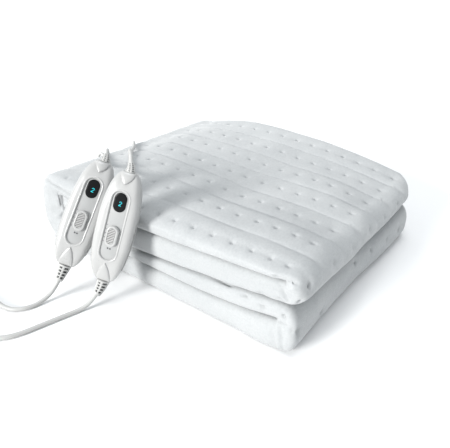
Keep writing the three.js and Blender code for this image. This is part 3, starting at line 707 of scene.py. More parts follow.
def add_spots(move, vertices, normals):
    """The pit of each weld spot, and the cloth that it pulls down round it"""
    low_spots = [vertices[np.argmin(np.linalg.norm(vertices - np.array(p), axis=1))] for p in LOW_SPOTS]
    spots = [(centre, 1.0) for centre in spot_points()]
    spots += [(centre, LOW_SPOT_SHARE) for centre in low_spots]
    for centre, share in spots:
        away = np.linalg.norm(vertices - centre, axis=1)
        near = np.flatnonzero(away < 3 * PULL_WIDTH)
        if len(near) == 0:
            continue
        heading = normals[near[np.argmin(away[near])]]
        facing = smooth((normals[near] @ heading - 0.2) / 0.4)
        pit = SPOT_DEPTH * np.exp(-(away[near] / SPOT_WIDTH) ** 2)
        pull = PULL_DEPTH * np.exp(-(away[near] / PULL_WIDTH) ** 2)
        move[near] -= facing * (pit * share + pull)


def add_folds(move, vertices, normals):
    """Wrinkles and hollows, on the faces that look forward"""
    ahead = smooth((-normals[:, 1] - 0.1) / 0.5)
    for line, depth, width in WRINKLES:
        away = line_distance(vertices, np.array(line, float))
        move -= ahead * depth * np.exp(-(away / width) ** 2)
    for centre, reach, depth in HOLLOWS:
        away = np.linalg.norm((vertices - np.array(centre)) / np.array(reach), axis=1)
        move -= ahead * depth * np.exp(-(away ** 2))


def quilted(stations, vertices, faces):
    """Moves the points of the strip for its creases, spots, folds and uneven filling"""
    normals = vertex_normals(vertices, faces)
    outer = np.tile([face == 0 for _, _, face in PLACES], len(stations))
    on_top = np.repeat([top_share(where) for where, _ in stations], len(PLACES)) * outer
    move = np.zeros(len(vertices))
    add_rows(move, vertices, on_top)
    add_spots(move, vertices, normals)
    add_folds(move, vertices, normals)
    swell = 0.9 * rolling(vertices, (75, 60, 60), 0.0) + 0.35 * rolling(vertices, (24, 15, 20), 7.7)
    low_edge = smooth((PAD_FRONT + 26 - vertices[:, 1]) / 20)
    ripple = 0.5 * low_edge * rolling(vertices, (26, 40, 7), 12.3)
    move += swell * np.where(outer, 1.0, 0.3) + ripple
    moved = vertices + normals * move[:, None]
    moved[:, 2] = np.maximum(moved[:, 2], 0.0)
    return moved


def pad_piece():
    stations = strip_stations()
    vertices, faces = loft([section(where, edges) for where, edges in stations])
    vertices = quilted(stations, vertices, faces)
    pad = piece("pad_cloth", placed(vertices), faces, FLEECE, "fleece", replaces=["pad"])


pad_piece()


# The controllers, in their own millimetres: x across, y up the body, z out of the face

BODY_LENGTH = 142
BODY_WIDTH = 48
BODY_DEPTH = 24
COLLAR_LOW = 8.5
COLLAR_HIGH = 6.5
COLLAR_DEPTH = 6.5
SEAM_GAP = 0.6
PANEL_LENGTH = 88
PANEL_WIDTH = 20.4
PANEL_Y = 4
PANEL_TOP = 10.4
DISPLAY_LENGTH = 24
DISPLAY_WIDTH = 15.5
DISPLAY_Y = 34.5
SWITCH_LENGTH = 27
SWITCH_WIDTH = 15
SWITCH_Y = -8.5
SWITCH_LOW = 10.7
SWITCH_TOP = 14.4
FIT_GAP = 0.3

LOW_BOOT = {
    "length": 22, "wide": 8.4, "narrow": 5.0, "rows": 4, "depth": 1.9,
    "windows": [(-74, -17), (4, 40), (72, 130), (152, 184), (206, 262)],
}
HIGH_BOOT = {
    "length": 10.5, "wide": 6.0, "narrow": 3.5, "rows": 5, "depth": 0.8,
    "windows": [(-62, -34), (-16, 16), (34, 62), (90, 135), (160, 200), (225, 270)],
}
PLUG_BOOT = {
    "length": 24, "wide": 5.5, "narrow": 3.9, "rows": 5, "depth": 1.2,
    "windows": [(-72, -18), (18, 72), (108, 162), (198, 252)],
}

CONTROLLERS = {
    "left": {
        "foot": (-88.7, -242.8, 41.6),
        "up": (11.9, 75.1, 120.1),
        "turn": 31,
        "bend": 6,
        "leave": (-0.64, 0.68, 0.25),
    },
    "right": {
        "foot": (-32.7, -228.5, 34.5),
        "up": (15.2, 49.3, 132.5),
        "turn": 25,
        "bend": 27,
        "leave": (-0.6, 0.55, 0.58),
    },
}


def unit(vector):
    vector = np.asarray(vector, float)
    return vector / np.linalg.norm(vector)


class Body:
    """A controller's frame in the pile"""

    def __init__(self, side, spec):
        self.side = side
        self.along = unit(spec["up"])
        turn = math.radians(spec["turn"])
        facing = np.array([math.sin(turn), -math.cos(turn), 0.0])
        self.facing = unit(facing - self.along * (facing @ self.along))
        self.across = np.cross(self.along, self.facing)
        self.foot = np.array(spec["foot"])
        self.head = self.foot + self.along * BODY_LENGTH
        self.centre = self.foot + self.along * BODY_LENGTH / 2
        self.leave = unit(spec["leave"])
        level = unit([-self.along[0], -self.along[1], 0.0])
        drop = math.asin(self.along[2]) - math.radians(spec["bend"])
        self.exit = level * math.cos(drop) - np.array([0.0, 0.0, math.sin(drop)])

    def set_down(self, points):
        p = np.asarray(points, float)
        out = self.centre + p[:, :1] * self.across + p[:, 1:2] * self.along + p[:, 2:3] * self.facing
        return placed(out)

    def add(self, name, mesh, material, slot, node=None, **options):
        """A piece of the controller, from vertices and faces in its own millimetres"""
        vertices, faces = mesh
        replaces = [self.side + node] if node else ()
        piece(
            self.side + name, self.set_down(vertices), faces, material, slot, replaces=replaces, **options,
        )


def half_width(y):
    t = np.minimum(1.0, np.abs(y) / (BODY_LENGTH / 2))
    collar = np.where(np.asarray(y) > 0, COLLAR_HIGH, COLLAR_LOW)
    return collar + (BODY_WIDTH / 2 - collar) * (1 - t ** 2.5) ** 0.58


def half_depth(y):
    t = np.minimum(1.0, np.abs(y) / (BODY_LENGTH / 2))
    return COLLAR_DEPTH + (BODY_DEPTH / 2 - COLLAR_DEPTH) * (1 - t ** 3) ** 0.7


def body_outline(count=96):
    """Closed outline of the body, from its lower end round by the right side"""
    share = np.linspace(0, 1, count)
    y = -BODY_LENGTH / 2 * np.cos(math.pi * share)
    right = np.column_stack([half_width(y), y])
    low = np.column_stack([np.linspace(-COLLAR_LOW, COLLAR_LOW, 9)[1:-1], np.full(7, -BODY_LENGTH / 2)])
    high = np.column_stack([np.linspace(COLLAR_HIGH, -COLLAR_HIGH, 9)[1:-1], np.full(7, BODY_LENGTH / 2)])
    right[0, 0], right[-1, 0] = COLLAR_LOW, COLLAR_HIGH
    left = right[::-1] * np.array([-1, 1])
    return np.vstack([low, right, high, left])


def capsule_edge(directions, length, width, y):
    """Where rays from a capsule's centre cross its edge"""
    radius, straight = width / 2, (length - width) / 2
    out = []
    for dx, dy in directions:
        reach = radius / max(1e-9, abs(dx))
        if abs(dy) * reach > straight:
            b = abs(dy) * straight
            reach = b + math.sqrt(max(0.0, b * b - straight ** 2 + radius ** 2))
        out.append((dx * reach, dy * reach + y))
    return np.array(out)


RIM_LENGTH = 93.5
RIM_WIDTH = 25.5
HALF_BODY = BODY_DEPTH / 2

# Sections of the shell and the rim: share of the way inwards, and height over the seam
SHELL_PROFILE = [
    (0.0, 0.3), (0.0, 2.0), (0.0, 4.2), (0.012, 5.4), (0.05, 6.9), (0.12, 8.2), (0.24, 9.5),
    (0.38, 10.5), (0.52, 11.1), (0.66, 11.4), (0.82, 11.55), (0.95, 11.6), (1.0, 11.62),
]
RIM_PROFILE = [
    (0.0, 11.66), (0.1, 11.95), (0.26, 12.15), (0.48, 12.2), (0.7, 12.05), (0.88, 11.6),
    (1.0, 11.0), (1.12, 10.42), (1.12, 9.6),
]


def face_height(y):
    """Height of the front shell on its middle line, between an end and the rim"""
    side = 1 if y > 0 else -1
    edge = PANEL_Y + side * RIM_LENGTH / 2
    share = (BODY_LENGTH / 2 - abs(y)) / (BODY_LENGTH / 2 - abs(edge))
    shares, heights = np.array(SHELL_PROFILE[2:]).T
    rise = float(np.interp(share, shares, heights))
    full = min(1.0, max(0.0, share))
    return rise * (COLLAR_DEPTH * (1 - full) + HALF_BODY * full) / HALF_BODY


def front_shell(body):
    """Outer wall, sloping shoulder, flat face and the raised rim round the recessed panel"""
    outline = body_outline()
    directions = outline - np.array([0, PANEL_Y])
    directions /= np.linalg.norm(directions, axis=1, keepdims=True)
    rim = capsule_edge(directions, RIM_LENGTH, RIM_WIDTH, PANEL_Y)
    inner = capsule_edge(directions, PANEL_LENGTH, PANEL_WIDTH, PANEL_Y)
    ends = np.minimum(1.0, np.abs(outline[:, 1]) / (BODY_LENGTH / 2))
    lift = COLLAR_DEPTH + (HALF_BODY - COLLAR_DEPTH) * (1 - ends ** 5) ** 0.7
    rings = [np.column_stack([outline * 0.9 + np.array([0, 0.1]), np.full(len(outline), SEAM_GAP / 2)])]
    for share, height in SHELL_PROFILE:
        flat = outline * (1 - share) + rim * share
        rise = height * (lift * (1 - share) + HALF_BODY * share) / HALF_BODY
        rings.append(np.column_stack([flat, np.maximum(rise, SEAM_GAP / 2)]))
    for share, height in RIM_PROFILE:
        rings.append(np.column_stack([rim * (1 - share) + inner * share, np.full(len(rim), height)]))
    body.add("_front_shell_skin", loft(rings), GLOSS, "shell", node="_front_shell", sharp=42)


def back_shell(body):
    steps, across = 60, 40
    a = np.linspace(0, math.pi, across + 1)
    rings = []
    for i in range(steps + 1):
        y = -BODY_LENGTH / 2 * math.cos(math.pi * i / steps)
        wide, deep = float(half_width(y)), float(half_depth(y))
        x = wide * np.sign(np.cos(a)) * np.abs(np.cos(a)) ** 0.8
        z = -(SEAM_GAP / 2 + (deep - SEAM_GAP / 2) * np.clip(np.sin(a), 0, 1) ** 0.62)
        rings.append(np.column_stack([x, np.full_like(x, y), z]))
    vertices, faces = loft(rings)
    mesh = (vertices, flipped(faces))
    body.add("_back_shell_skin", mesh, GLOSS, "shell", node="_back_shell", sharp=40)


def seam_core(body):
    """Dark inner wall that shows in the joint line between the two shells"""
    outline = body_outline(60) * 0.975
    rings = [np.column_stack([outline, np.full(len(outline), z)]) for z in (-0.5, 0.5)]
    body.add("_seam_core", loft(rings), SEAM_DARK_AND_SLOT_SHADE, "shell", soft=False)


def dome(body, end, reach, wide, bulge, power, name):
    """Raised petal where a lead goes in: broad at the body's end, pointed towards the panel"""
    steps, across = 36, 32
    a = np.linspace(0, math.pi, across + 1)
    rings = []
    for i in range(steps + 1):
        t = i / steps
        y = end * (BODY_LENGTH / 2 - reach * t)
        half = max(0.05, wide * (1 - t ** power) ** 0.8)
        low = face_height(y) - 1.0
        crown = 0.55 + 0.45 * math.sin(math.pi * min(0.5, t + 0.1))
        top = face_height(y) + bulge * (1 - 0.55 * t ** 2) * crown
        x = half * np.cos(a)
        z = low + (top - low) * np.sin(a) ** 0.62
        rings.append(np.column_stack([x, np.full_like(x, y), z]))
    vertices, faces = loft(rings)
    body.add(name, (vertices, flipped(faces) if end > 0 else faces), GLOSS, "shell", sharp=50)


def capsule_ring(length, width, y, z, count=48):
    """Closed capsule outline at a height: two half circles joined by straight sides"""
    radius, straight = width / 2, (length - width) / 2
    a = np.linspace(0, math.pi, count)
    upper = np.column_stack([radius * np.cos(a), straight + radius * np.sin(a)])
    outline = np.vstack([upper, -upper])
    return np.column_stack([outline[:, 0], outline[:, 1] + y, np.full(2 * count, z)])


def stacked_capsules(body, name, levels, y, material, slot, node=None):
    """Solid of capsule outlines on each other: (length, width, z) for each level"""
    rings = [capsule_ring(length, width, y, z) for length, width, z in levels]
    body.add(name, loft(rings), material, slot, node=node, sharp=35)


def panel_and_display(body):
    length, width = PANEL_LENGTH - 2 * FIT_GAP, PANEL_WIDTH - 2 * FIT_GAP
    plate = [(length, width, 8.8), (length, width, 10.3), (length - 1, width - 1, PANEL_TOP)]
    stacked_capsules(body, "_panel_plate", plate, PANEL_Y, PANEL, "panel", "_panel")
    bezel = [(1.2, 10.0), (1.2, 10.5), (0.6, 10.6), (0, 10.55)]
    glass = [(0, 10.2), (0, 10.8), (-1.0, 11.05), (-4, 11.15), (-9, 11.2)]
    for name, levels, material, slot, node in (
        ("_display_bezel", bezel, PANEL, "panel", None),
        ("_display_glass", glass, GLASS, "display", "_display"),
    ):
        levels = [(DISPLAY_LENGTH + more, DISPLAY_WIDTH + more, z) for more, z in levels]
        stacked_capsules(body, name, levels, DISPLAY_Y, material, slot, node)


def bar(points, width, low, high):
    """Flat bar along a line of two points, as eight corners"""
    (x0, y0), (x1, y1) = points
    run = np.array([x1 - x0, y1 - y0])
    run /= np.linalg.norm(run)
    aside = np.array([-run[1], run[0]]) * width / 2
    corners = []
    for z, taper in ((low, 1.0), (high, 0.8)):
        for base, sign in (((x0, y0), 1), ((x1, y1), 1), ((x1, y1), -1), ((x0, y0), -1)):
            spot = np.array(base) + aside * sign * taper
            corners.append([spot[0], spot[1], z])
    faces = [(3, 2, 1, 0), (4, 5, 6, 7), (0, 1, 5, 4), (1, 2, 6, 5), (2, 3, 7, 6), (3, 0, 4, 7)]
    return corners, faces


def bars(body, name, lines, width, low, high, material, slot):
    vertices, faces = [], []
    for line in lines:
        corners, sides = bar(line, width, low, high)
        faces += [tuple(len(vertices) + k for k in side) for side in sides]
        vertices += corners
    body.add(name, (vertices, faces), material, slot, soft=False)


DIGIT_HEIGHT = 5.0
DIGIT_WIDTH = 3.0
DIGIT_BAR = 0.75
DIGIT_SLANT = 0.12
DIGIT_X = 0.7
DIGIT_DROP = 1.3
DIGIT_PATH = [(-1, 0.55), (-0.6, 0.92), (0.1, 1), (0.8, 0.8), (0.95, 0.4), (0.6, 0), (-1, -1), (1.1, -1)]


def digit_two(body):
    """The figure two, drawn in short bars"""
    half, wide = DIGIT_HEIGHT / 2, DIGIT_WIDTH / 2
    points = []
    for x, y in DIGIT_PATH:
        points.append((x * wide + DIGIT_SLANT * y * half + DIGIT_X, y * half + DISPLAY_Y - DIGIT_DROP))
    bars(body, "_display_digit", list(zip(points, points[1:])), DIGIT_BAR, 11.0, 11.3, LIT, "display")


TICKS = [((-9.5, y), (-7.8, y)) for y in (3.5, -1.8, -7.1, -12.4, -17.7)]
MARK = [((-2.6, -25.2), (-0.5, -25.2)), ((0.4, -25.2), (2.4, -25.2))]


def marks(body):
    """Position ticks beside the switch and a small mark under it"""
    low, high = PANEL_TOP - 0.05, PANEL_TOP + 0.06
    bars(body, "_switch_ticks", TICKS, 1.5, low, high, INK, "panel")
    bars(body, "_switch_mark", MARK, 2.2, low, high, DARK_INK, "panel")


SWITCH_X = 0.5
GRIP_X = -0.1
GRIP_Y = -7.9
GRIP_LENGTH = 20.5
GRIP_WIDTH = 9.4
GRIP_PITCH = 2.7
GRIP_ANGLE = math.radians(40)
GRIP_DEPTH = 0.8
GRIP_ROWS = 140
GRIP_COLUMNS = 60


def switch_cap(body):
    """Slide switch: a light oval with a sloping wall, open for the patch of ridges"""
    levels = [
        (1, SWITCH_LOW), (0, SWITCH_LOW + 0.5), (0, SWITCH_LOW + 1.4), (1.0, SWITCH_LOW + 2.8),
        (2.0, SWITCH_TOP - 0.2), (3.0, SWITCH_TOP),
    ]
    rings = []
    for trim, z in levels:
        ring = capsule_ring(SWITCH_LENGTH - trim, SWITCH_WIDTH - trim, SWITCH_Y, z)
        rings.append(ring + [SWITCH_X, 0, 0])
    for trim, z in ((0, SWITCH_TOP - 0.1), (0.6, SWITCH_TOP - GRIP_DEPTH - 0.2)):
        rings.append(capsule_ring(GRIP_LENGTH - trim, GRIP_WIDTH - trim, GRIP_Y, z) + [GRIP_X, 0, 0])
    rider = body.side + "_switch"
    body.add("_switch_cap", loft(rings), GLOSS, "switch", node="_switch", body=rider, sharp=35)


def switch_grip(body):
    """Grey patch of slanting ridges on the switch, with painted shade in the grooves between them"""
    half_long, half_wide = (GRIP_LENGTH - 0.2) / 2, (GRIP_WIDTH - 0.2) / 2
    y = np.linspace(-half_long, half_long, GRIP_ROWS)
    over = np.maximum(0, np.abs(y) - (half_long - half_wide))
    reach = np.sqrt(np.maximum(0.0004, half_wide ** 2 - over ** 2))
    u = np.linspace(-1, 1, GRIP_COLUMNS)
    grid_x = reach[:, None] * u[None, :]
    grid_y = np.repeat(y[:, None], GRIP_COLUMNS, axis=1)
    phase = (grid_y * math.cos(GRIP_ANGLE) - grid_x * math.sin(GRIP_ANGLE)) / GRIP_PITCH
    ridge = 0.5 + 0.5 * np.cos(2 * math.pi * phase)
    fade = smooth((1 - np.abs(u))[None, :] / 0.12) * smooth((half_long - np.abs(grid_y)) / 1.2)
    height = smooth((ridge - 0.15) / 0.5) * fade
    grid_z = SWITCH_TOP - GRIP_DEPTH * (1 - height)
    vertices = np.column_stack([(grid_x + GRIP_X).ravel(), (grid_y + GRIP_Y).ravel(), grid_z.ravel()])
    faces = flipped(ring_faces(GRIP_ROWS, GRIP_COLUMNS, closed=False))
    # Faces low in the grooves take the second material, which is painted shade
    low = height.ravel() < 0.5
    indices = [1 if low[face[0]] else 0 for face in faces]
    rider = body.side + "_switch"
    body.add(
        "_switch_grip", (vertices, faces), GRIP, "switch", body=rider, second=GROOVE_SHADE, indices=indices,
    )


# Section of a rib on the side wall: height over the seam, and how far it stands out
RIB_PROFILE = [(1.2, 0.1), (1.9, 0.7), (4.6, 0.7), (6.4, -0.2)]
RIB_HALF = 0.45
RIB_ROOT = 1.2
RIB_PITCH = 1.9
RIBS_FROM = -50
RIBS_TO = 12


def side_ribs(body):
    """Fine grip ribs down both side walls"""
    vertices, faces = [], []
    for sign in (1, -1):
        for y in np.arange(RIBS_FROM, RIBS_TO, RIB_PITCH):
            x = float(half_width(y))
            start = len(vertices)
            for dz, out in RIB_PROFILE:
                for dy in (-RIB_HALF, RIB_HALF):
                    vertices.append([sign * (x + out), y + dy, dz])
                    vertices.append([sign * (x - RIB_ROOT), y + dy, dz])
            quads = []
            for a in (start, start + 4, start + 8):
                quads += [
                    (a, a + 2, a + 6, a + 4), (a + 1, a + 5, a + 7, a + 3),
                    (a, a + 4, a + 5, a + 1), (a + 2, a + 3, a + 7, a + 6),
                ]
            top = start + 12
            quads += [(start, start + 1, start + 3, start + 2), (top, top + 2, top + 3, top + 1)]
            faces += flipped(quads) if sign < 0 else quads
    body.add("_side_ribs", (vertices, faces), GLOSS, "shell", soft=False)


SLOT_EDGE = 3.5
SLOT_START = 0.28
SLOT_END = 0.97
SLOT_RAMP = 0.07
BOOT_STEPS = 110
BOOT_SIDES = 96


def boot(name, shape, start, along, leave, towards, node, dark):
    """Tapered strain relief with rows of slots between lengthwise ribs, and painted shade on the slot floors
    """
    length = shape["length"]
    corner = start + along * length / 2
    end = corner + leave * length / 2
    a = np.linspace(0, 2 * math.pi, BOOT_SIDES, endpoint=False)
    degrees = np.degrees(a)
    window = np.zeros(BOOT_SIDES)
    for first, last in shape["windows"]:
        inside = (degrees - first) % 360
        window = np.maximum(window, smooth(inside / SLOT_EDGE) * smooth((last - first - inside) / SLOT_EDGE))
    rings, slots = [], []
    for i in range(BOOT_STEPS + 1):
        t = i / BOOT_STEPS
        centre = (1 - t) ** 2 * start + 2 * t * (1 - t) * corner + t * t * end
        heading = unit((1 - t) * (corner - start) + t * (end - corner))
        front = unit(towards - heading * (towards @ heading))
        aside = np.cross(heading, front)
        radius = shape["wide"] + (shape["narrow"] - shape["wide"]) * t
        place = t * (shape["rows"] + 0.75) - 0.1
        row = place - math.floor(place)
        gate = float(smooth((row - SLOT_START) / SLOT_RAMP) * smooth((SLOT_END - row) / SLOT_RAMP))
        if not 0 < place < shape["rows"]:
            gate = 0.0
        cut = window * gate
        r = radius - shape["depth"] * cut
        rings.append(centre + np.outer(np.cos(a) * r, front) + np.outer(np.sin(a) * r, aside))
        slots.append(cut > 0.6)
    vertices, faces = loft(rings)
    slots = np.array(slots).ravel()
    # Faces deep in the slots take the second material, which is painted shade
    indices = [1 if all(slots[k] for k in face) else 0 for face in faces]
    return piece(
        name, placed(vertices), faces, RUBBER, "cord", replaces=[node], second=dark, indices=indices,
    )


def controller(side, spec):
    body = Body(side, spec)
    front_shell(body)
    back_shell(body)
    seam_core(body)
    dome(body, -1, 26.5, 9.4, 2.6, 1.9, "_lower_dome")
    dome(body, 1, 14, 8.6, 3.6, 2.2, "_upper_dome")
    panel_and_display(body)
    digit_two(body)
    marks(body)
    switch_cap(body)
    switch_grip(body)
    side_ribs(body)
    # The last item of each is the painted shade for that boot's slot floors
    for end, shape, root, along, leave, dark in (
        ("_lower", LOW_BOOT, body.foot, -body.along, body.exit, SEAM_DARK_AND_SLOT_SHADE),
        ("_upper", HIGH_BOOT, body.head, body.along, body.leave, SHADE),
    ):
        start = root + along * FIT_GAP
        boot(side + end + "_relief", shape, start, along, leave, body.facing, side + end + "_boot", dark)


for side, spec in CONTROLLERS.items():
    controller(side, spec)


# The plugs: the solids' own bodies and pins, with finer strain reliefs

PLUG_MIDDLE = 6.65
PLUGS = {"left_mains": ((-282.6, -316.35), 180), "right_mains": ((-69.4, -438.25), 0)}


def plug_parts(name):
    """Finishes a plug and gives the pieces that are on its lead"""
    (x, y), heading = PLUGS[name]
    turn = math.radians(heading)
    forward = np.array([math.cos(turn), math.sin(turn), 0.0])
    start = np.array([x, y, PLUG_MIDDLE]) - forward * FIT_GAP
    along = unit(-forward - np.array([0, 0, 0.04]))
    leave = unit(-forward - np.array([0, 0, 0.09]))
    up = np.array([0.0, 0.0, 1.0])
    parts = [boot(name + "_plug_relief", PLUG_BOOT, start, along, leave, up, name + "_plug_boot", SHADE)]
    for node, material in (("_plug", RUBBER), ("_plug_pin_a", NICKEL), ("_plug_pin_b", NICKEL)):
        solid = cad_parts[name + node]
        solid.data.materials.clear()
        solid.data.materials.append(material)
        parts.append(solid)
    return parts


# The leads: routes in the pile's millimetres, as in the part's source

MAINS_DIAMETER = 5.5
MAINS_COIL_RADII = (38.25, 21.75)
MAINS_LAYERS = (2.9, 8.4)
LEAD_DIAMETER = 4.6
LEAD_COIL_RADIUS = 27.6
LEAD_LAYERS = (2.45, 11.65)
COIL_POINTS = 16

LEFT_MAINS_BEFORE = [
    [-88.9, -244.2, 39.3], [-89.8, -249.9, 31.2], [-90.7, -255.7, 23.1], [-91.4, -259.9, 17.9],
    [-92.8, -268.8, 9.6], [-94.5, -279.4, 4.6], [-96.3, -290.9, 2.9], [-101.6, -303.8, 2.9],
    [-112.3, -312.9, 2.9], [-125.9, -316.3, 2.9], [-145, -316.35, 2.9], [-172, -316.35, 2.9],
    [-200, -316.35, 2.9],
]
LEFT_MAINS_AFTER = [
    [-243.8, -316.35, 8.4], [-250, -316.35, 7.2], [-257, -316.35, 5.2], [-270, -316.35, 5.9],
    [-281, -316.35, 6.5],
]
RIGHT_MAINS_BEFORE = [
    [-33.6, -231.2, 27.2], [-34.9, -235.4, 21.8], [-36.4, -240.5, 16.4], [-38.3, -246.9, 10.5],
    [-40, -252.5, 6.4], [-42, -259, 3.8], [-44.2, -266, 2.9], [-50.5, -286.5, 2.9],
    [-57, -307.5, 2.9], [-64, -330, 2.9], [-73, -346.2, 2.9], [-88, -357.5, 2.9],
    [-108, -361.75, 2.9],
]
RIGHT_MAINS_AFTER = [
    [-108.2, -438.25, 8.4], [-102, -438.25, 7.2], [-95, -438.25, 5.2], [-82, -438.25, 5.9],
    [-71, -438.25, 6.5],
]
LEFT_LEAD_BEFORE = [
    [-80.1, -160.8, 167.8], [-84.1, -156.6, 169.25], [-89.5, -151.3, 168.8], [-96.5, -145.5, 165.8],
    [-104, -139.8, 159.5], [-112, -134, 150.5], [-119.5, -128, 140.5], [-127, -122, 131],
    [-137, -114, 123.5], [-150, -105, 120.2], [-165, -96, 118.2], [-178, -88, 116],
    [-190, -80, 114.8], [-204, -71, 113], [-217, -66, 109], [-226, -63, 100],
    [-232.5, -61, 84], [-234.5, -59, 60], [-235, -56, 38], [-238, -51, 19],
    [-243, -42, 7], [-248.5, -31, 2.6], [-252, -20, 2.45], [-252.6, -12.2, 2.45],
]
LEFT_LEAD_AFTER = [
    [-252.6, 21.2, 11.6], [-251.5, 31, 8.8], [-246.5, 40, 5.2], [-237, 46, 3.2],
    [-226, 48, 3.6], [-216, 48.5, 5.6],
]
RIGHT_LEAD_BEFORE = [
    [-20.3, -174.2, 175.3], [-26, -168.5, 181.5], [-33, -162.5, 183.5], [-41, -156, 181],
    [-49, -149.5, 173.5], [-57, -143, 162], [-65, -137, 148], [-74, -130, 136],
    [-85, -121, 127.5], [-98, -110, 123.5], [-113, -97, 122.5], [-126, -85, 121.3],
    [-146, -65, 121], [-166, -43, 118.6], [-186, -20, 114.5], [-204, -3, 113],
    [-215, 6, 107.5], [-225, 13, 99.5], [-231.5, 23, 84], [-233, 35, 60],
    [-235, 47, 38], [-238, 60, 19], [-243, 74, 7], [-248.5, 87, 2.6],
    [-252, 98, 2.45], [-252.6, 106.8, 2.45],
]
RIGHT_LEAD_AFTER = [
    [-252.6, 140.2, 11.6], [-251.5, 149, 8.8], [-246, 157, 5.4], [-236, 161.5, 3.3],
    [-226, 162.5, 3.6], [-216, 163, 5.6],
]


def coil_run(centre, start, turns, radii, heights):
    """Points of a winding counter-clockwise from a start angle, its end points left out"""
    steps = int(turns * COIL_POINTS)
    points = []
    for i in range(steps):
        share = i / steps
        angle = math.radians(start + 360 * turns * share)
        radius = radii[0] + (radii[1] - radii[0]) * share
        height = heights[0] + (heights[1] - heights[0]) * share
        points.append([centre[0] + radius * math.cos(angle), centre[1] + radius * math.sin(angle), height])
    return points


def mains_coil(centre, spare_turns):
    """Three turns inwards on the floor, a change of layer, and three turns outwards on top"""
    outer, inner = MAINS_COIL_RADII
    low, high = MAINS_LAYERS
    points = coil_run(centre, 90, 3, (outer, inner), (low, low))
    points += coil_run(centre, 90, spare_turns, (inner, inner), (low, high))
    start = 90 + 360 * spare_turns
    points += coil_run(centre, start, 3, (inner, outer), (high, high))
    end = math.radians(start)
    points.append([centre[0] + outer * math.cos(end), centre[1] + outer * math.sin(end), high])
    return points


def lead_coil(centre):
    """Two turns that climb on each other, from the east side and back to it"""
    points = coil_run(centre, 0, 2, (LEAD_COIL_RADIUS, LEAD_COIL_RADIUS), LEAD_LAYERS)
    points.append([centre[0] + LEAD_COIL_RADIUS, centre[1], LEAD_LAYERS[1]])
    return points


def curve_through(points, fine=5):
    """Smooth curve through points, by centripetal Catmull-Rom spans"""
    p = np.asarray(points, float)
    padded = np.vstack([2 * p[0] - p[1], p, 2 * p[-1] - p[-2]])
    out = []
    for i in range(len(p) - 1):
        a, b, c, d = padded[i:i + 4]
        ta = 0.0
        tb = ta + max(1e-6, np.linalg.norm(b - a)) ** 0.5
        tc = tb + max(1e-6, np.linalg.norm(c - b)) ** 0.5
        td = tc + max(1e-6, np.linalg.norm(d - c)) ** 0.5
        for t in np.linspace(tb, tc, fine, endpoint=False):
            ab = (tb - t) / (tb - ta) * a + (t - ta) / (tb - ta) * b
            bc = (tc - t) / (tc - tb) * b + (t - tb) / (tc - tb) * c
            cd = (td - t) / (td - tc) * c + (t - tc) / (td - tc) * d
            abc = (tc - t) / (tc - ta) * ab + (t - ta) / (tc - ta) * bc
            bcd = (td - t) / (td - tb) * bc + (t - tb) / (td - tb) * cd
            out.append((tc - t) / (tc - tb) * abc + (t - tb) / (tc - tb) * bcd)
    out.append(p[-1])
    return np.array(out)


def lead(name, route, diameter, with_pieces):
    """A lead as one round curve along its route"""
    points = placed(curve_through(route))
    data = bpy.data.curves.new(name + "_cord", "CURVE")
    data.dimensions = "3D"
    data.bevel_depth = diameter / 2 * MM
    data.bevel_resolution = 5
    data.use_fill_caps = True
    spline = data.splines.new("POLY")
    spline.points.add(len(points) - 1)
    spline.points.foreach_set("co", np.column_stack([points, np.ones(len(points))]).ravel())
    spline.use_smooth = True
    data.materials.append(RUBBER)
    obj = bpy.data.objects.new(name + "_cord", data)
    bpy.context.collection.objects.link(obj)
    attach(obj, "pad")
    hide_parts(name, name + "_coil", name + "_end")


MAINS_ROUTES = {
    "left_mains": LEFT_MAINS_BEFORE + mains_coil([-222, -354.6], 1.0) + LEFT_MAINS_AFTER,
    "right_mains": RIGHT_MAINS_BEFORE + mains_coil([-130, -400], 0.5) + RIGHT_MAINS_AFTER,
}
LEAD_ROUTES = {
    "left_lead": LEFT_LEAD_BEFORE + lead_coil([-280.2, 4.5]) + LEFT_LEAD_AFTER,
    "right_lead": RIGHT_LEAD_BEFORE + lead_coil([-280.2, 123.5]) + RIGHT_LEAD_AFTER,
}

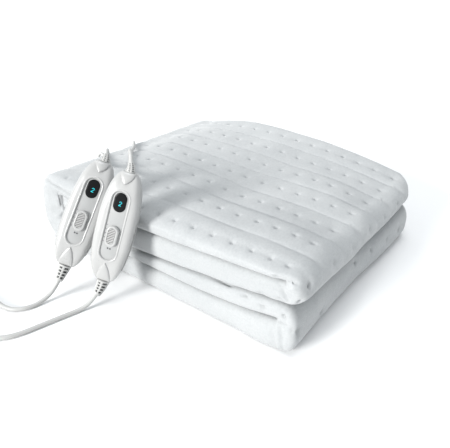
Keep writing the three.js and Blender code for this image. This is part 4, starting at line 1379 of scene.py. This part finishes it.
for name, route in MAINS_ROUTES.items():
    lead(name, route, MAINS_DIAMETER, plug_parts(name))
for name, route in LEAD_ROUTES.items():
    lead(name, route, LEAD_DIAMETER, [])


# Floor and lights

FLOOR_DARK = (0.87, 0.87, 0.87)
FLOOR_LIGHT = (0.89, 0.89, 0.89)
FLOOR_HALF = 6.0
FLOOR_DROP = 0.0004


def add_stage():
    nodes = Nodes("floor")
    shader = nodes.shader
    nodes.link(nodes.ramp(nodes.noise(3), FLOOR_DARK, FLOOR_LIGHT), shader.inputs["Base Color"])
    shader.inputs["Roughness"].default_value = 0.9
    shader.inputs["Specular IOR Level"].default_value = 0.0
    mesh = bpy.data.meshes.new("floor")
    corners = [(x * FLOOR_HALF, y * FLOOR_HALF, 0) for x, y in ((-1, -1), (1, -1), (1, 1), (-1, 1))]
    mesh.from_pydata(corners, [], [(0, 1, 2, 3)])
    mesh.materials.append(nodes.material)
    floor = bpy.data.objects.new("floor", mesh)
    floor.location.z = -FLOOR_DROP
    bpy.context.collection.objects.link(floor)


LIGHTS = {
    "key": {"from": (-0.27, -0.915, 0.3), "spread": 20, "power": 4.5, "color": (1.0, 0.993, 0.98)},
    "top": {"from": (-0.05, 0.08, 0.99), "spread": 30, "power": 1.2, "color": (0.97, 0.985, 1.0)},
}
SKY_COLOR = (0.93, 0.97, 1.0)
SKY_STRENGTH = 0.8


def add_lights():
    for name, spec in LIGHTS.items():
        data = bpy.data.lights.new(name, "SUN")
        data.angle = math.radians(spec["spread"])
        data.energy = spec["power"]
        data.color = spec["color"]
        light = bpy.data.objects.new(name, data)
        light.location = spec["from"]
        light.rotation_euler = (-Vector(spec["from"])).to_track_quat("-Z", "Y").to_euler()
        bpy.context.collection.objects.link(light)
    world = bpy.data.worlds.new("studio")
    world.use_nodes = True
    sky = world.node_tree.nodes["Background"]
    sky.inputs["Color"].default_value = (*SKY_COLOR, 1.0)
    sky.inputs["Strength"].default_value = SKY_STRENGTH
    bpy.context.scene.world = world


add_stage()
add_lights()
bpy.context.scene.view_settings.view_transform = "Standard"
